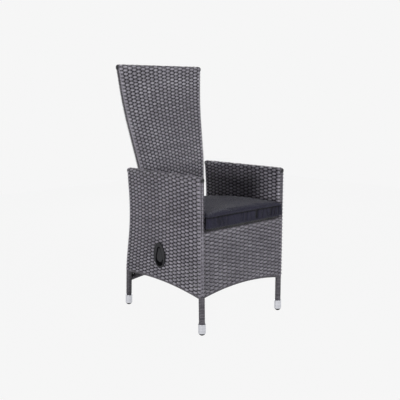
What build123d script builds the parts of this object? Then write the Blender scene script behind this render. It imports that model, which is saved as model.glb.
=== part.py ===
from build123d import *
from math import atan2, cos, hypot, radians, sin, sqrt, tan
import os

# Reclining garden armchair of woven synthetic rattan over an aluminium tube frame.
# Millimetres. +Z is up, the chair faces -Y, and the sitter's right hand is at -X.

os.makedirs("parts", exist_ok=True)

# Overall form
arm_height = 650.0  # floor to the top of the arms
leg_spacing = 456.0  # between leg centres, side to side
front_leg_y = -260.0  # front leg centres
rear_waist_y = 207.5  # where the curved rear leg comes furthest forward
leg_kick = 62.0  # how far the rear foot stands behind that waist
leg_bend_share = 0.943  # of the largest radius that the rear leg's bends have room for
kick_shares = (1, 0.75, 0.105, 0, 0.153)  # of leg_kick, from the foot up
kick_height_shares = (0, 0.308, 0.603, 0.769, 1)  # of arm_height

# Tubes and the strand wound round them
frame_tube_d = 22.0
frame_wall = 1.5
arch_tube_d = 16.0
arch_wall = 1.2
back_tube_d = 20.0
brace_tube_d = 16.0
wrap = 2.0  # thickness of the strand wound on a frame tube
arm_wrap = 2.4  # the same on an arm rail
arch_wrap = 1.8  # and on an arched rail
back_wrap = 2.5  # and on the backrest's uprights
foot_wrap = 2.8  # and on its bottom rail
sheet = 2.5  # thickness of a woven sheet
sheet_setback = 1.0  # a sheet lies this far inside the wound edges
wrap_gap = 0.15  # between a strand and its tube
weld_gap = 0.1  # between pieces that are welded together
overrun = 5.0  # how far a cutting shape passes the piece that it cuts

# Feet
glide_height = 10.0
glide_flat = 0.4  # ground off the dome so that it stands flat
glide_radius = 14.0
glide_stem_r = 4.0
glide_stem = 20.0
ferrule_radius = 15.5
ferrule_height = 39.0
ferrule_floor = 3.0
ferrule_lip = 1.0  # rounding of its upper and lower edges

# Seat frame
seat_rail_z = 420.0  # seat rail centres at the front
seat_drop = 15.0  # fall of the seat from the front rail to the rear rail
rear_rail_y = 147.0
seat_rail_inset = 2.0  # side seat rail centres inside the leg centres
back_panel_z = 420.0  # rail between the rear legs, behind the backrest
cross_tube_y = -40.0
cross_tube_drop = 3.0  # cross tube centre below the side rail centres

# Arched lower edges, at the centre of the wrapped rail
front_arch_end_z = 166.0
front_arch_mid_z = 190.0
side_arch_front_z = 162.0
side_arch_mid_z = 186.0
side_arch_rear_z = 172.0
side_arch_mid_y = 16.0
rear_arch_end_z = 125.0
rear_arch_mid_z = 143.0

# Backrest
pivot_y = 178.8
pivot_z = 432.0
back_length = 648.0  # pivot to the centre of the top rail, measured upright
back_lean = 100.8  # top rail centre behind the pivot
back_foot_half = 150.6  # half the distance between the uprights at the pivot
back_flare = 72.2  # how much wider that half is at the top rail
back_height_shares = (0, 0.336, 0.748, 1)
back_lean_shares = (0, 0.278, 0.877, 1)
back_flare_shares = (0, 0.379, 0.788, 1)
back_lower_radius = 1000.0
back_upper_radius = 1250.0
brace_height_share = 0.55
top_wrap = 3.0  # the top rail is wound thicker than the uprights
wound_overhang = 1.0  # of the wound top and bottom rails past the uprights

# Recline hinge
hinge_plate_x = 186.0
hinge_plate = 4.0
hinge_eye_r = 12.0
hinge_foot_r = 6.0
hinge_foot_drop = 4.0  # of the front foot below the rear seat rail's centre
hinge_side_gap = 0.6  # bush flange to the barrel's end
bush_flange = 1.2
bush_flange_r = 9.5
bush_wall = 1.5
bolt_r = 5.0
bolt_head_r = 8.5
bolt_head = 5.0
bolt_socket_r = 2.9
bolt_socket = 3.0
bolt_thread = 24.0
plug_length = 26.0
running_gap = 0.05  # radial clearance where a shaft turns or slides

# Gas spring
horn_length = 58.0  # pivot to the pin in the horn
horn_angle = 20.0  # of the horn behind straight down, at rest
spring_front_drop = 36.0  # cross tube centre to the front pin
spring_pin_r = 4.0
open_pivot_gap = 1.8  # extra radius of the eye round the horn's pin
clevis_gap = 18.0
horn_plate = 4.0
horn_eye_r = 9.0
horn_collar = 3.0  # of the horn's plate round the bottom rail
bracket_plate = 3.5
bracket_eye_r = 10.0
pin_head = 2.0
pin_head_extra = 2.0
head_length = 34.0
head_nose = 10.0
head_half_height = 10.0
head_width = 15.0
head_lug_drop = 38.0
head_lug = 8.0
gland_drop = 32.0
gland_r = 3.5
gland_bore_r = 1.3
gland_reach = 8.0
rod_r = 5.0
rod_thread = 10.0
rod_show = 44.0
cylinder_r = 13.0
cylinder_wall = 2.0
guide_length = 12.0
piston_length = 8.0
piston_gap = 4.0
piston_side_gap = 0.1
spring_tail = 22.0  # end of the cylinder to the centre of its eye
tail_cap = 6.0
eye_r = 9.5
eye_width = 12.0
eye_neck_r = 5.0
trigger_along = 22.0  # release lever's pin from the front pin, along the rod
trigger_drop = 15.0
trigger_reach = 25.0
trigger_lean = 7.0
trigger_r = 4.5
trigger_tip_r = 3.0
trigger_width = 5.0
trigger_pin_r = 1.5
trigger_ear = 3.0
trigger_ear_r = 5.0
trigger_side_gap = 0.5

# Pull handle in the right-hand side panel
handle_y = 0.0
handle_z = 291.0
bezel_half_width = 39.0
bezel_half_height = 56.5
bezel = 3.2
bezel_round = 1.4
recess_top_r = 13.0
recess_top_y = 26.0
recess_low_r = 26.5
recess_low_y = -21.0
cup_wall = 2.0
cup_depth = 22.0
cup_fit = 0.4
lever_top_r = 7.5
lever_low_r = 20.0
lever_low_y = -9.0
lever_plate = 5.0
lever_proud = 1.5  # lever face in front of the woven sheet
lever_round = 1.5
lever_pivot_y = 25.0
lever_pivot_depth = 8.0
lever_pin_r = 2.0
lever_hub_r = 5.0
lever_hub_half = 11.0
lever_arm_r = 3.5
lever_arm_y = 13.0
lever_arm_depth = 15.0
lever_arm_half = 2.0
clamp_ring = 3.0
clamp_inset = 1.5
handle_screw_r = 1.5
handle_screw_head_r = 2.6
handle_screw_head = 1.8
handle_screw_bite = 2.2  # into the bezel
handle_low_screw = (31.1, -27.0)
handle_high_screw = (20.0, 33.0)
handle_gland_y = -12.0
handle_gland_r = 4.5
handle_gland_nut_r = 6.5
handle_gland_nut = 4.0
handle_gland_reach = 12.0

# Seat cushion
cushion_front_y = -293.0
cushion_back_gap = 6.0  # to the wound foot of the backrest
cushion_edge = 59.0  # height at its sewn edge
cushion_crown = 12.0  # rise of the middle above the edge
crown_radius = 2600.0
crown_shift = 25.0  # highest point ahead of the middle
cushion_corner = 22.0
cushion_draw = 3.0  # how far each side is drawn in at its middle
cushion_round = 9.0
soft_gap = 0.6

# Worked out from the sizes above
leg_x = leg_spacing / 2
tube_r = frame_tube_d / 2
arch_r = arch_tube_d / 2
back_r = back_tube_d / 2
brace_r = brace_tube_d / 2
wrap_r = tube_r + wrap
arm_wrap_r = tube_r + arm_wrap
arch_wrap_r = arch_r + arch_wrap
arch_out = tube_r - arch_r  # arch rails stand flush with the legs' outer side
back_wrap_r = back_r + back_wrap
foot_wrap_r = back_r + foot_wrap
top_wrap_r = back_r + top_wrap
arm_z = arm_height - arm_wrap_r
panel_face = leg_x + wrap_r - sheet_setback  # outer face of a side panel's sheet
leg_end_z = glide_height + ferrule_floor + wrap_gap
cope_r = tube_r + weld_gap
clear_r = wrap_r + wrap_gap
arch_clear_r = arch_wrap_r + wrap_gap
bore_r = tube_r + wrap_gap  # inside of a wound sleeve
entry_r = tube_r + 2 * wrap_gap  # opening in a sleeve where another tube enters
arch_bore_r = arch_r + wrap_gap
arch_entry_r = arch_r + 2 * wrap_gap
rail_x = leg_x - seat_rail_inset
sides = {"right": -1, "left": 1}


def between(low, high, height):
    """Point at a height on the line through two (y, z) points."""
    share = (height - low[1]) / (high[1] - low[1])
    return (low[0] + (high[0] - low[0]) * share, height)


leg_corners = [
    (rear_waist_y + leg_kick * kick, arm_height * height)
    for kick, height in zip(kick_shares, kick_height_shares)
]


leg_runs = [(end[0] - start[0], end[1] - start[1]) for start, end in zip(leg_corners, leg_corners[1:])]
leg_headings = [atan2(*run) for run in leg_runs]
sharpest_turn = max(abs(after - before) for before, after in zip(leg_headings, leg_headings[1:]))
leg_bend_radius = leg_bend_share * min(hypot(*run) for run in leg_runs) / 2 / tan(sharpest_turn / 2)


def leg_point(height):
    """Point at a height on the rear leg's line, before its bends are rounded."""
    above = next(i for i, corner in enumerate(leg_corners) if corner[1] > height)
    return between(leg_corners[above - 1], leg_corners[above], height)


def seat_z(y):
    """Height of the sloping seat rails' centres at a distance along the chair."""
    return seat_rail_z - seat_drop * (y - front_leg_y) / (rear_rail_y - front_leg_y)


def line(*points, radius=None):
    """Wire through the points, its corners rounded where a radius is given."""
    with BuildLine() as route:
        if radius is None:
            Polyline(*points)
        else:
            FilletPolyline(*points, radius=radius)
    return route.wire()


def arch(start, middle, end):
    with BuildLine() as route:
        ThreePointArc(start, middle, end)
    return route.wire()


def bar(route, radius, mode=Mode.ADD):
    """Round bar along a route, added to the part being built or cut from it."""
    with BuildSketch(Plane(origin=route @ 0, z_dir=route % 0)) as section:
        Circle(radius)
    sweep(section.sketch, path=route, mode=mode)


def tube(route, radius, wall):
    bar(route, radius)
    bar(route, radius - wall, Mode.SUBTRACT)


def sleeve(outer, inner, radius, bore, cuts):
    """Strand wound along the outer route, bored along the inner one and cut by (route, radius) pairs."""
    with BuildPart() as wound:
        bar(outer, radius)
        bar(inner, bore, Mode.SUBTRACT)
        for route, cut_radius in cuts:
            bar(route, cut_radius, Mode.SUBTRACT)
    return wound.part


def save(piece, label):
    piece.part.label = label
    export_step(piece.part, f"parts/{label}.step")


# Centre lines of the side frames
rear_top_y = leg_point(arm_z)[0]
seat_rear_y = leg_point(seat_z(rear_rail_y))[0]
rear_leg_profile = [leg_point(leg_end_z), *leg_corners[1:4], leg_point(arm_z)]
arch_rear_y = leg_point(side_arch_rear_z)[0]
lines = {}
for name, side in sides.items():
    x = side * leg_x
    arch_x = side * (leg_x + arch_out)
    lines[name] = {
        "front_leg": line((x, front_leg_y, leg_end_z), (x, front_leg_y, arm_z)),
        "rear_leg": line(*[(x, y, z) for y, z in rear_leg_profile], radius=leg_bend_radius),
        "arm_rail": line((x, front_leg_y - tube_r, arm_z), (x, rear_top_y + tube_r, arm_z)),
        "arm_sleeve": line((x, front_leg_y - arm_wrap_r, arm_z), (x, rear_top_y + arm_wrap_r, arm_z)),
        "seat_rail": line(
            (side * rail_x, front_leg_y, seat_rail_z), (side * rail_x, seat_rear_y, seat_z(seat_rear_y))
        ),
        "arch_rail": arch(
            (arch_x, front_leg_y, side_arch_front_z),
            (arch_x, side_arch_mid_y, side_arch_mid_z),
            (arch_x, arch_rear_y, side_arch_rear_z),
        ),
    }

# Centre lines of the rails that join the two sides
panel_y = leg_point(back_panel_z)[0]
rear_arch_y = leg_point(rear_arch_mid_z)[0] + arch_out
cross_z = seat_z(cross_tube_y) - cross_tube_drop
rear_rail_z = seat_z(rear_rail_y)
front_rail = line((-leg_x, front_leg_y, seat_rail_z), (leg_x, front_leg_y, seat_rail_z))
rear_rail = line((-rail_x, rear_rail_y, rear_rail_z), (rail_x, rear_rail_y, rear_rail_z))
panel_rail = line((-leg_x, panel_y, back_panel_z), (leg_x, panel_y, back_panel_z))
cross_tube = line((-rail_x, cross_tube_y, cross_z), (rail_x, cross_tube_y, cross_z))
front_arch = arch(
    (-leg_x, front_leg_y - arch_out, front_arch_end_z),
    (0, front_leg_y - arch_out, front_arch_mid_z),
    (leg_x, front_leg_y - arch_out, front_arch_end_z),
)
rear_arch = arch(
    (-leg_x, rear_arch_y, rear_arch_end_z),
    (0, rear_arch_y, rear_arch_mid_z),
    (leg_x, rear_arch_y, rear_arch_end_z),
)

# Side frames: legs coped to the arm rail, rails coped to the legs
for name in sides:
    own = lines[name]

    with BuildPart() as arm_rail:
        tube(own["arm_rail"], tube_r, frame_wall)
    save(arm_rail, f"{name}_arm_rail")

    for leg in ("front_leg", "rear_leg"):
        with BuildPart() as leg_tube:
            tube(own[leg], tube_r, frame_wall)
            bar(own["arm_rail"], cope_r, Mode.SUBTRACT)
        save(leg_tube, f"{name}_{leg}")

    with BuildPart() as seat_rail:
        tube(own["seat_rail"], tube_r, frame_wall)
        bar(own["front_leg"], cope_r, Mode.SUBTRACT)
        bar(own["rear_leg"], cope_r, Mode.SUBTRACT)
    save(seat_rail, f"{name}_seat_rail")

    with BuildPart() as arch_rail:
        tube(own["arch_rail"], arch_r, arch_wall)
        bar(own["front_leg"], cope_r, Mode.SUBTRACT)
        bar(own["rear_leg"], cope_r, Mode.SUBTRACT)
    save(arch_rail, f"{name}_arch_rail")

# Rails across the chair: route, radius, wall and the side members that they are coped to
cross_rails = {
    "front_seat_rail": (front_rail, tube_r, frame_wall, ("front_leg", "seat_rail")),
    "rear_seat_rail": (rear_rail, tube_r, frame_wall, ("seat_rail",)),
    "back_panel_rail": (panel_rail, tube_r, frame_wall, ("rear_leg", "seat_rail")),
    "seat_cross_tube": (cross_tube, tube_r, frame_wall, ("seat_rail",)),
    "front_arch_rail": (front_arch, arch_r, arch_wall, ("front_leg",)),
    "rear_arch_rail": (rear_arch, arch_r, arch_wall, ("rear_leg",)),
}
for name, (route, radius, wall, members) in cross_rails.items():
    with BuildPart() as cross_rail:
        tube(route, radius, wall)
        for own in lines.values():
            for member in members:
                bar(own[member], cope_r, Mode.SUBTRACT)
    save(cross_rail, name)

# Feet: each is turned about the axis of its own leg
foot_centres = []
for side in sides.values():
    foot_centres.append((Vector(side * leg_x, front_leg_y, 0), Vector(0, 0, 1)))
    rear_foot = Vector(side * leg_x, *leg_corners[0])
    rear_knee = Vector(side * leg_x, *leg_corners[1])
    foot_centres.append((rear_foot, (rear_knee - rear_foot).normalized()))


def foot_plane(foot, axis):
    """Plane with its X across the leg and its Y up the leg."""
    return Plane(origin=foot, x_dir=(1, 0, 0), z_dir=Vector(1, 0, 0).cross(axis))


with BuildPart() as leg_ferrules:
    for foot, axis in foot_centres:
        with BuildSketch(foot_plane(foot, axis)) as ferrule_profile:
            with BuildLine():
                FilletPolyline(
                    (glide_stem_r + wrap_gap, glide_height + weld_gap),
                    (ferrule_radius, glide_height + weld_gap),
                    (ferrule_radius, glide_height + ferrule_height),
                    (clear_r, glide_height + ferrule_height),
                    (clear_r, glide_height + ferrule_floor),
                    (glide_stem_r + wrap_gap, glide_height + ferrule_floor),
                    close=True,
                    radius=(0, ferrule_lip, ferrule_lip, 0, 0, 0),
                )
            make_face()
        revolve(axis=Axis(foot, axis))
save(leg_ferrules, "leg_ferrules")

with BuildPart() as foot_glides:
    for foot, axis in foot_centres:
        with BuildSketch(foot_plane(foot, axis)) as glide_profile:
            with BuildLine():
                Polyline(
                    (0, -glide_flat),
                    (0, glide_height + ferrule_floor + glide_stem),
                    (glide_stem_r, glide_height + ferrule_floor + glide_stem),
                    (glide_stem_r, glide_height),
                    (glide_radius, glide_height),
                )
                TangentArc((0, -glide_flat), (glide_radius, glide_height), tangent=(1, 0))
            make_face()
        revolve(axis=Axis(foot, axis))
    with Locations((0, 0, 0)):
        Box(
            2 * leg_spacing,
            4 * leg_spacing,
            glide_height,
            align=(Align.CENTER, Align.CENTER, Align.MAX),
            mode=Mode.SUBTRACT,
        )
save(foot_glides, "foot_glides")

# Handle outlines, drawn on the outer face of the right-hand panel, X towards the front
handle_face = Plane(origin=(-panel_face, handle_y, handle_z), x_dir=(0, -1, 0), z_dir=(-1, 0, 0))


def teardrop(top_y, top_r, low_y, low_r, extra=0):
    """Outline round a small upper and a large lower circle, grown by an extra."""
    with BuildSketch() as circles:
        with Locations((0, top_y)):
            Circle(top_r + extra)
        with Locations((0, low_y)):
            Circle(low_r + extra)
    with BuildSketch() as outline:
        make_hull(circles.edges())
    return outline.sketch


def recess(extra):
    return teardrop(recess_top_y, recess_top_r, recess_low_y, recess_low_r, extra)


screw_places = [
    (sign * x, y) for sign in (-1, 1) for x, y in (handle_low_screw, handle_high_screw)
]

# Woven side panels: an outer sheet, an inner sheet above the seat, wound edges round the tubes
rear_edge = [leg_point(arm_z), *reversed(leg_corners[1:4]), leg_point(side_arch_rear_z)]
inner_rear_z = seat_z(seat_rear_y)
inner_edge = [leg_point(arm_z), leg_corners[3], (seat_rear_y, inner_rear_z)]
for name, side in sides.items():
    own = lines[name]
    under_arm = (own["arm_sleeve"], arm_wrap_r + wrap_gap)
    seat_entry = (own["seat_rail"], entry_r)
    arch_entry = (own["arch_rail"], arch_entry_r)
    wound_edges = [
        sleeve(
            own["front_leg"],
            own["front_leg"],
            wrap_r,
            bore_r,
            [under_arm, seat_entry, arch_entry, (front_rail, entry_r), (front_arch, arch_entry_r)],
        ),
        sleeve(
            own["rear_leg"],
            own["rear_leg"],
            wrap_r,
            bore_r,
            [under_arm, seat_entry, arch_entry, (panel_rail, entry_r), (rear_arch, arch_entry_r)],
        ),
        sleeve(
            own["arm_sleeve"],
            own["arm_rail"],
            arm_wrap_r,
            bore_r,
            [(own["front_leg"], entry_r), (own["rear_leg"], entry_r)],
        ),
        sleeve(
            own["arch_rail"],
            own["arch_rail"],
            arch_wrap_r,
            arch_bore_r,
            [(own["front_leg"], clear_r), (own["rear_leg"], clear_r)],
        ),
    ]
    with BuildPart() as side_weave:
        with BuildSketch(Plane.YZ.offset(side * panel_face)) as outer_outline:
            with BuildLine():
                Polyline(
                    (front_leg_y, side_arch_front_z), (front_leg_y, arm_z), (rear_top_y, arm_z)
                )
                Polyline(*rear_edge)
                ThreePointArc(
                    (arch_rear_y, side_arch_rear_z),
                    (side_arch_mid_y, side_arch_mid_z),
                    (front_leg_y, side_arch_front_z),
                )
            make_face()
        extrude(amount=-side * sheet)
        with BuildSketch(Plane.YZ.offset(side * (2 * leg_x - panel_face))) as inner_outline:
            with BuildLine():
                Polyline(
                    (seat_rear_y, inner_rear_z),
                    (front_leg_y, seat_rail_z),
                    (front_leg_y, arm_z),
                    (rear_top_y, arm_z),
                )
                Polyline(*inner_edge)
            make_face()
        extrude(amount=side * sheet)
        for route in (own["front_leg"], own["rear_leg"], front_rail, panel_rail):
            bar(route, clear_r, Mode.SUBTRACT)
        for route in (own["seat_rail"], rear_rail, cross_tube):
            bar(route, bore_r, Mode.SUBTRACT)
        bar(own["arm_sleeve"], arm_wrap_r + wrap_gap, Mode.SUBTRACT)
        bar(own["arch_rail"], arch_clear_r, Mode.SUBTRACT)
        if side < 0:
            with BuildSketch(handle_face) as handle_hole:
                add(recess(cup_wall + cup_fit))
                with Locations(*screw_places):
                    Circle(handle_screw_r + cup_fit)
            extrude(amount=-2 * sheet, mode=Mode.SUBTRACT)
        add(wound_edges)
    save(side_weave, f"{name}_side_weave")

# Woven front panel, round the front seat rail and the front arch rail
panel_half = leg_x
leg_cuts = [
    (own[member], clear_r) for own in lines.values() for member in ("front_leg", "rear_leg", "seat_rail")
]
arch_cuts = [(own["arch_rail"], arch_clear_r) for own in lines.values()]
front_edges = [
    sleeve(front_rail, front_rail, wrap_r, bore_r, leg_cuts),
    sleeve(front_arch, front_arch, arch_wrap_r, arch_bore_r, leg_cuts + arch_cuts),
]
with BuildPart() as front_weave:
    with BuildSketch(Plane.XZ.offset(-front_leg_y + wrap_r - sheet_setback)) as front_outline:
        with BuildLine():
            Polyline(
                (-panel_half, front_arch_end_z),
                (-panel_half, seat_rail_z),
                (panel_half, seat_rail_z),
                (panel_half, front_arch_end_z),
            )
            ThreePointArc(
                (panel_half, front_arch_end_z), (0, front_arch_mid_z), (-panel_half, front_arch_end_z)
            )
        make_face()
    extrude(amount=-sheet)
    for route, radius in [(front_rail, clear_r), (front_arch, arch_clear_r), *leg_cuts, *arch_cuts]:
        bar(route, radius, Mode.SUBTRACT)
    add(front_edges)
save(front_weave, "front_weave")

# Woven rear panel: a sheet that follows the curve of the rear legs
rear_low = leg_point(rear_arch_end_z - arch_wrap_r)
rear_sheet_line = line(
    *[(0, y, z) for y, z in (rear_low, *rear_leg_profile[1:])], radius=leg_bend_radius
)
sheet_offset = wrap_r - sheet_setback - sheet / 2
rear_sheet_half = leg_x - sqrt(clear_r**2 - (sheet_offset - sheet / 2) ** 2)
rear_edges = [
    sleeve(panel_rail, panel_rail, wrap_r, bore_r, leg_cuts),
    sleeve(rear_arch, rear_arch, arch_wrap_r, arch_bore_r, leg_cuts + arch_cuts),
]
with BuildPart() as rear_weave:
    start = Plane(origin=rear_sheet_line @ 0, x_dir=(1, 0, 0), z_dir=rear_sheet_line % 0)
    with BuildSketch(start) as rear_section:
        with Locations((0, sheet_offset)):
            Rectangle(2 * rear_sheet_half, sheet)
    sweep(path=rear_sheet_line)
    with BuildSketch(Plane.XZ) as rear_outline:
        with BuildLine():
            ThreePointArc(
                (-panel_half, rear_arch_end_z), (0, rear_arch_mid_z), (panel_half, rear_arch_end_z)
            )
            Polyline(
                (panel_half, rear_arch_end_z),
                (panel_half, back_panel_z),
                (-panel_half, back_panel_z),
                (-panel_half, rear_arch_end_z),
            )
        make_face()
    extrude(amount=-2 * rear_arch_y, mode=Mode.INTERSECT)
    for route, radius in [(panel_rail, clear_r), (rear_arch, arch_clear_r)]:
        bar(route, radius, Mode.SUBTRACT)
    add(rear_edges)
    for side in sides.values():
        with Locations((side * (hinge_plate_x + hinge_plate / 2), panel_y, back_panel_z)):
            Box(
                hinge_plate + 2 * wrap_gap,
                2 * wrap_r,
                2 * wrap_r,
                align=(Align.CENTER, Align.MAX, Align.CENTER),
                mode=Mode.SUBTRACT,
            )
save(rear_weave, "rear_weave")

# Seat deck on the sloping seat, and the wound strand on the rear rail
seat_run = rear_rail_y - front_leg_y
seat_length = hypot(seat_run, seat_drop)
seat_normal = (0, seat_drop / seat_length, seat_run / seat_length)
seat_plane = Plane(origin=(0, front_leg_y, seat_rail_z), x_dir=(1, 0, 0), z_dir=seat_normal)
deck_half = leg_x - wrap_r - soft_gap
deck_bottom = tube_r + wrap_gap
deck_top = deck_bottom + sheet
deck_wrap_half = hinge_plate_x - wrap
deck_rear_wrap = line((-deck_wrap_half, rear_rail_y, rear_rail_z), (deck_wrap_half, rear_rail_y, rear_rail_z))
with BuildPart() as seat_deck:
    with BuildSketch(seat_plane.offset(deck_bottom)) as deck_outline:
        Rectangle(2 * deck_half, seat_length, align=(Align.CENTER, Align.MIN))
    extrude(amount=sheet)
    bar(deck_rear_wrap, wrap_r)
    bar(rear_rail, bore_r, Mode.SUBTRACT)
    bar(front_rail, clear_r, Mode.SUBTRACT)
    for own in lines.values():
        bar(own["front_leg"], clear_r, Mode.SUBTRACT)
save(seat_deck, "seat_deck")

# Hinge plates, bridging the rear seat rail and the rail behind the backrest
for name, side in sides.items():
    with BuildPart() as hinge_side_plate:
        with BuildSketch(Plane.YZ.offset(side * hinge_plate_x)) as plate_outline:
            with Locations(
                (rear_rail_y + tube_r, rear_rail_z - hinge_foot_drop),
                (panel_y - tube_r, back_panel_z),
            ):
                Circle(hinge_foot_r)
            with Locations((pivot_y, pivot_z)):
                Circle(hinge_eye_r)
            make_hull(plate_outline.edges())
            with Locations((rear_rail_y, rear_rail_z), (panel_y, back_panel_z)):
                Circle(cope_r, mode=Mode.SUBTRACT)
            with Locations((pivot_y, pivot_z)):
                Circle(bolt_r + running_gap + bush_wall, mode=Mode.SUBTRACT)
        extrude(amount=side * hinge_plate)
    save(hinge_side_plate, f"{name}_hinge_plate")

# Hinge hardware, stacked outwards from the end of the backrest's bottom rail
barrel_end = hinge_plate_x - bush_flange - hinge_side_gap
bush_end = hinge_plate_x + hinge_plate
head_start = bush_end + hinge_side_gap


def across(start, length, side):
    """Route along X from a distance out from the middle, at the recline axis."""
    return line((side * start, pivot_y, pivot_z), (side * (start + length), pivot_y, pivot_z))


with BuildPart() as hinge_bushes:
    for side in sides.values():
        bar(across(hinge_plate_x - bush_flange, bush_flange - weld_gap, side), bush_flange_r)
        bar(across(hinge_plate_x - bush_flange, bush_flange + hinge_plate, side), bolt_r + bush_wall)
        bar(
            across(hinge_plate_x - bush_flange, bush_flange + hinge_plate, side),
            bolt_r + running_gap,
            Mode.SUBTRACT,
        )
save(hinge_bushes, "hinge_bushes")

with BuildPart() as hinge_bolts:
    for side in sides.values():
        bar(across(barrel_end - bolt_thread, bolt_thread + head_start - barrel_end, side), bolt_r)
        bar(across(head_start, bolt_head, side), bolt_head_r)
        head_top = Plane(
            origin=(side * (head_start + bolt_head), pivot_y, pivot_z), z_dir=(side, 0, 0)
        )
        with BuildSketch(head_top) as socket:
            RegularPolygon(bolt_socket_r, 6)
        extrude(amount=-bolt_socket, mode=Mode.SUBTRACT)
save(hinge_bolts, "hinge_bolts")

with BuildPart() as hinge_plugs:
    for side in sides.values():
        bar(across(barrel_end - plug_length, plug_length, side), back_r - frame_wall - weld_gap)
        bar(across(barrel_end - plug_length, plug_length, side), bolt_r + weld_gap, Mode.SUBTRACT)
save(hinge_plugs, "hinge_plugs")

# Backrest frame
back_corners = [
    (
        back_foot_half + back_flare * flare,
        pivot_y + back_lean * lean,
        pivot_z + back_length * height,
    )
    for flare, lean, height in zip(back_flare_shares, back_lean_shares, back_height_shares)
]
back_radii = (back_lower_radius, back_upper_radius)
top_x, top_y, top_z = back_corners[-1]
uprights = {
    name: line(*[(side * x, y, z) for x, y, z in back_corners], radius=back_radii)
    for name, side in sides.items()
}
bottom_rail = line((-barrel_end, pivot_y, pivot_z), (barrel_end, pivot_y, pivot_z))
top_end = top_x + back_r
top_rail = line((-top_end, top_y, top_z), (top_end, top_y, top_z))
back_line = line(*[(0, y, z) for _, y, z in back_corners], radius=back_radii)

for name in sides:
    with BuildPart() as upright:
        tube(uprights[name], back_r, frame_wall)
        bar(bottom_rail, back_r + weld_gap, Mode.SUBTRACT)
        bar(top_rail, back_r + weld_gap, Mode.SUBTRACT)
    save(upright, f"{name}_back_upright")

for name, route in {"back_bottom_rail": bottom_rail, "back_top_rail": top_rail}.items():
    with BuildPart() as back_rail:
        tube(route, back_r, frame_wall)
    save(back_rail, name)

brace = back_line @ brace_height_share
brace_line = line((-top_x, brace.Y, brace.Z), (top_x, brace.Y, brace.Z))
with BuildPart() as back_brace:
    tube(brace_line, brace_r, frame_wall)
    for name, side in sides.items():
        bar(uprights[name], back_r + weld_gap, Mode.SUBTRACT)
        beyond = Plane(origin=(side * (back_foot_half + back_flare * brace_height_share), brace.Y, brace.Z))
        with BuildSketch(beyond) as past_upright:
            Rectangle(
                back_flare,
                4 * brace_r,
                align=(Align.MIN if side > 0 else Align.MAX, Align.CENTER),
            )
        extrude(amount=2 * brace_r, both=True, mode=Mode.SUBTRACT)
save(back_brace, "back_brace")

# Woven backrest: front and rear sheets that follow the back's curve, wound edges
horn_slot_half = clevis_gap / 2 + horn_plate + wrap
back_sheet_offset = back_wrap_r - sheet_setback - sheet / 2
wound_foot = back_foot_half + back_wrap_r + wound_overhang
wound_top = top_x + back_wrap_r + wound_overhang
foot_sleeve = line((-wound_foot, pivot_y, pivot_z), (wound_foot, pivot_y, pivot_z))
top_sleeve = line((-wound_top, top_y, top_z), (wound_top, top_y, top_z))
back_bore_r = back_r + wrap_gap
back_entry_r = back_r + 2 * wrap_gap
upright_entries = [(route, back_entry_r) for route in uprights.values()]
rail_cuts = [(foot_sleeve, foot_wrap_r + wrap_gap), (top_sleeve, top_wrap_r + wrap_gap)]
brace_entry = (brace_line, brace_r + wrap_gap)
upright_cuts = [(route, back_wrap_r + wrap_gap) for route in uprights.values()]
horn_slot = line((-horn_slot_half, pivot_y, pivot_z), (horn_slot_half, pivot_y, pivot_z))
horn_cut = (horn_slot, back_r + horn_collar + wrap)
side_cuts = [*rail_cuts, brace_entry]
back_edges = [
    *[sleeve(route, route, back_wrap_r, back_bore_r, side_cuts) for route in uprights.values()],
    sleeve(foot_sleeve, bottom_rail, foot_wrap_r, back_bore_r, [*upright_entries, horn_cut]),
    sleeve(top_sleeve, top_rail, top_wrap_r, back_bore_r, upright_entries),
]
with BuildPart() as back_weave:
    start = Plane(origin=back_line @ 0, x_dir=(1, 0, 0), z_dir=back_line % 0)
    with BuildSketch(start) as back_section:
        with Locations((0, -back_sheet_offset), (0, back_sheet_offset)):
            Rectangle(2 * top_end, sheet)
    sweep(path=back_line)
    with BuildSketch(Plane.XZ) as back_outline:
        with BuildLine():
            right_edge = FilletPolyline(*[(x, z) for x, _, z in back_corners], radius=back_radii)
            left_edge = FilletPolyline(*[(-x, z) for x, _, z in back_corners], radius=back_radii)
            Line(right_edge @ 0, left_edge @ 0)
            Line(right_edge @ 1, left_edge @ 1)
        make_face()
    extrude(amount=-2 * top_y, mode=Mode.INTERSECT)
    for route, radius in [*upright_cuts, *rail_cuts, brace_entry, horn_cut]:
        bar(route, radius, Mode.SUBTRACT)
    add(back_edges)
save(back_weave, "back_weave")

# Gas spring: its line runs from the front pin under the seat to the pin in the horn
front_pin = Vector(0, cross_tube_y, cross_z - spring_front_drop)
horn_pin = Vector(
    0,
    pivot_y + horn_length * sin(radians(horn_angle)),
    pivot_z - horn_length * cos(radians(horn_angle)),
)
along = (horn_pin - front_pin).normalized()
spring_length = (horn_pin - front_pin).length
spring_plane = Plane(origin=front_pin, x_dir=along, z_dir=(1, 0, 0))


def spring_route(start, end):
    """Route on the gas spring's axis, between two distances from the front pin."""
    return line(front_pin + along * start, front_pin + along * end)


def pin_with_heads(centre, radius, half):
    """Headed pin along X, added to the part being built."""
    bar(line(centre - Vector(half, 0, 0), centre + Vector(half, 0, 0)), radius)
    for side in sides.values():
        inner = centre + Vector(side * half, 0, 0)
        bar(line(inner, inner + Vector(side * pin_head, 0, 0)), radius + pin_head_extra)


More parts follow.
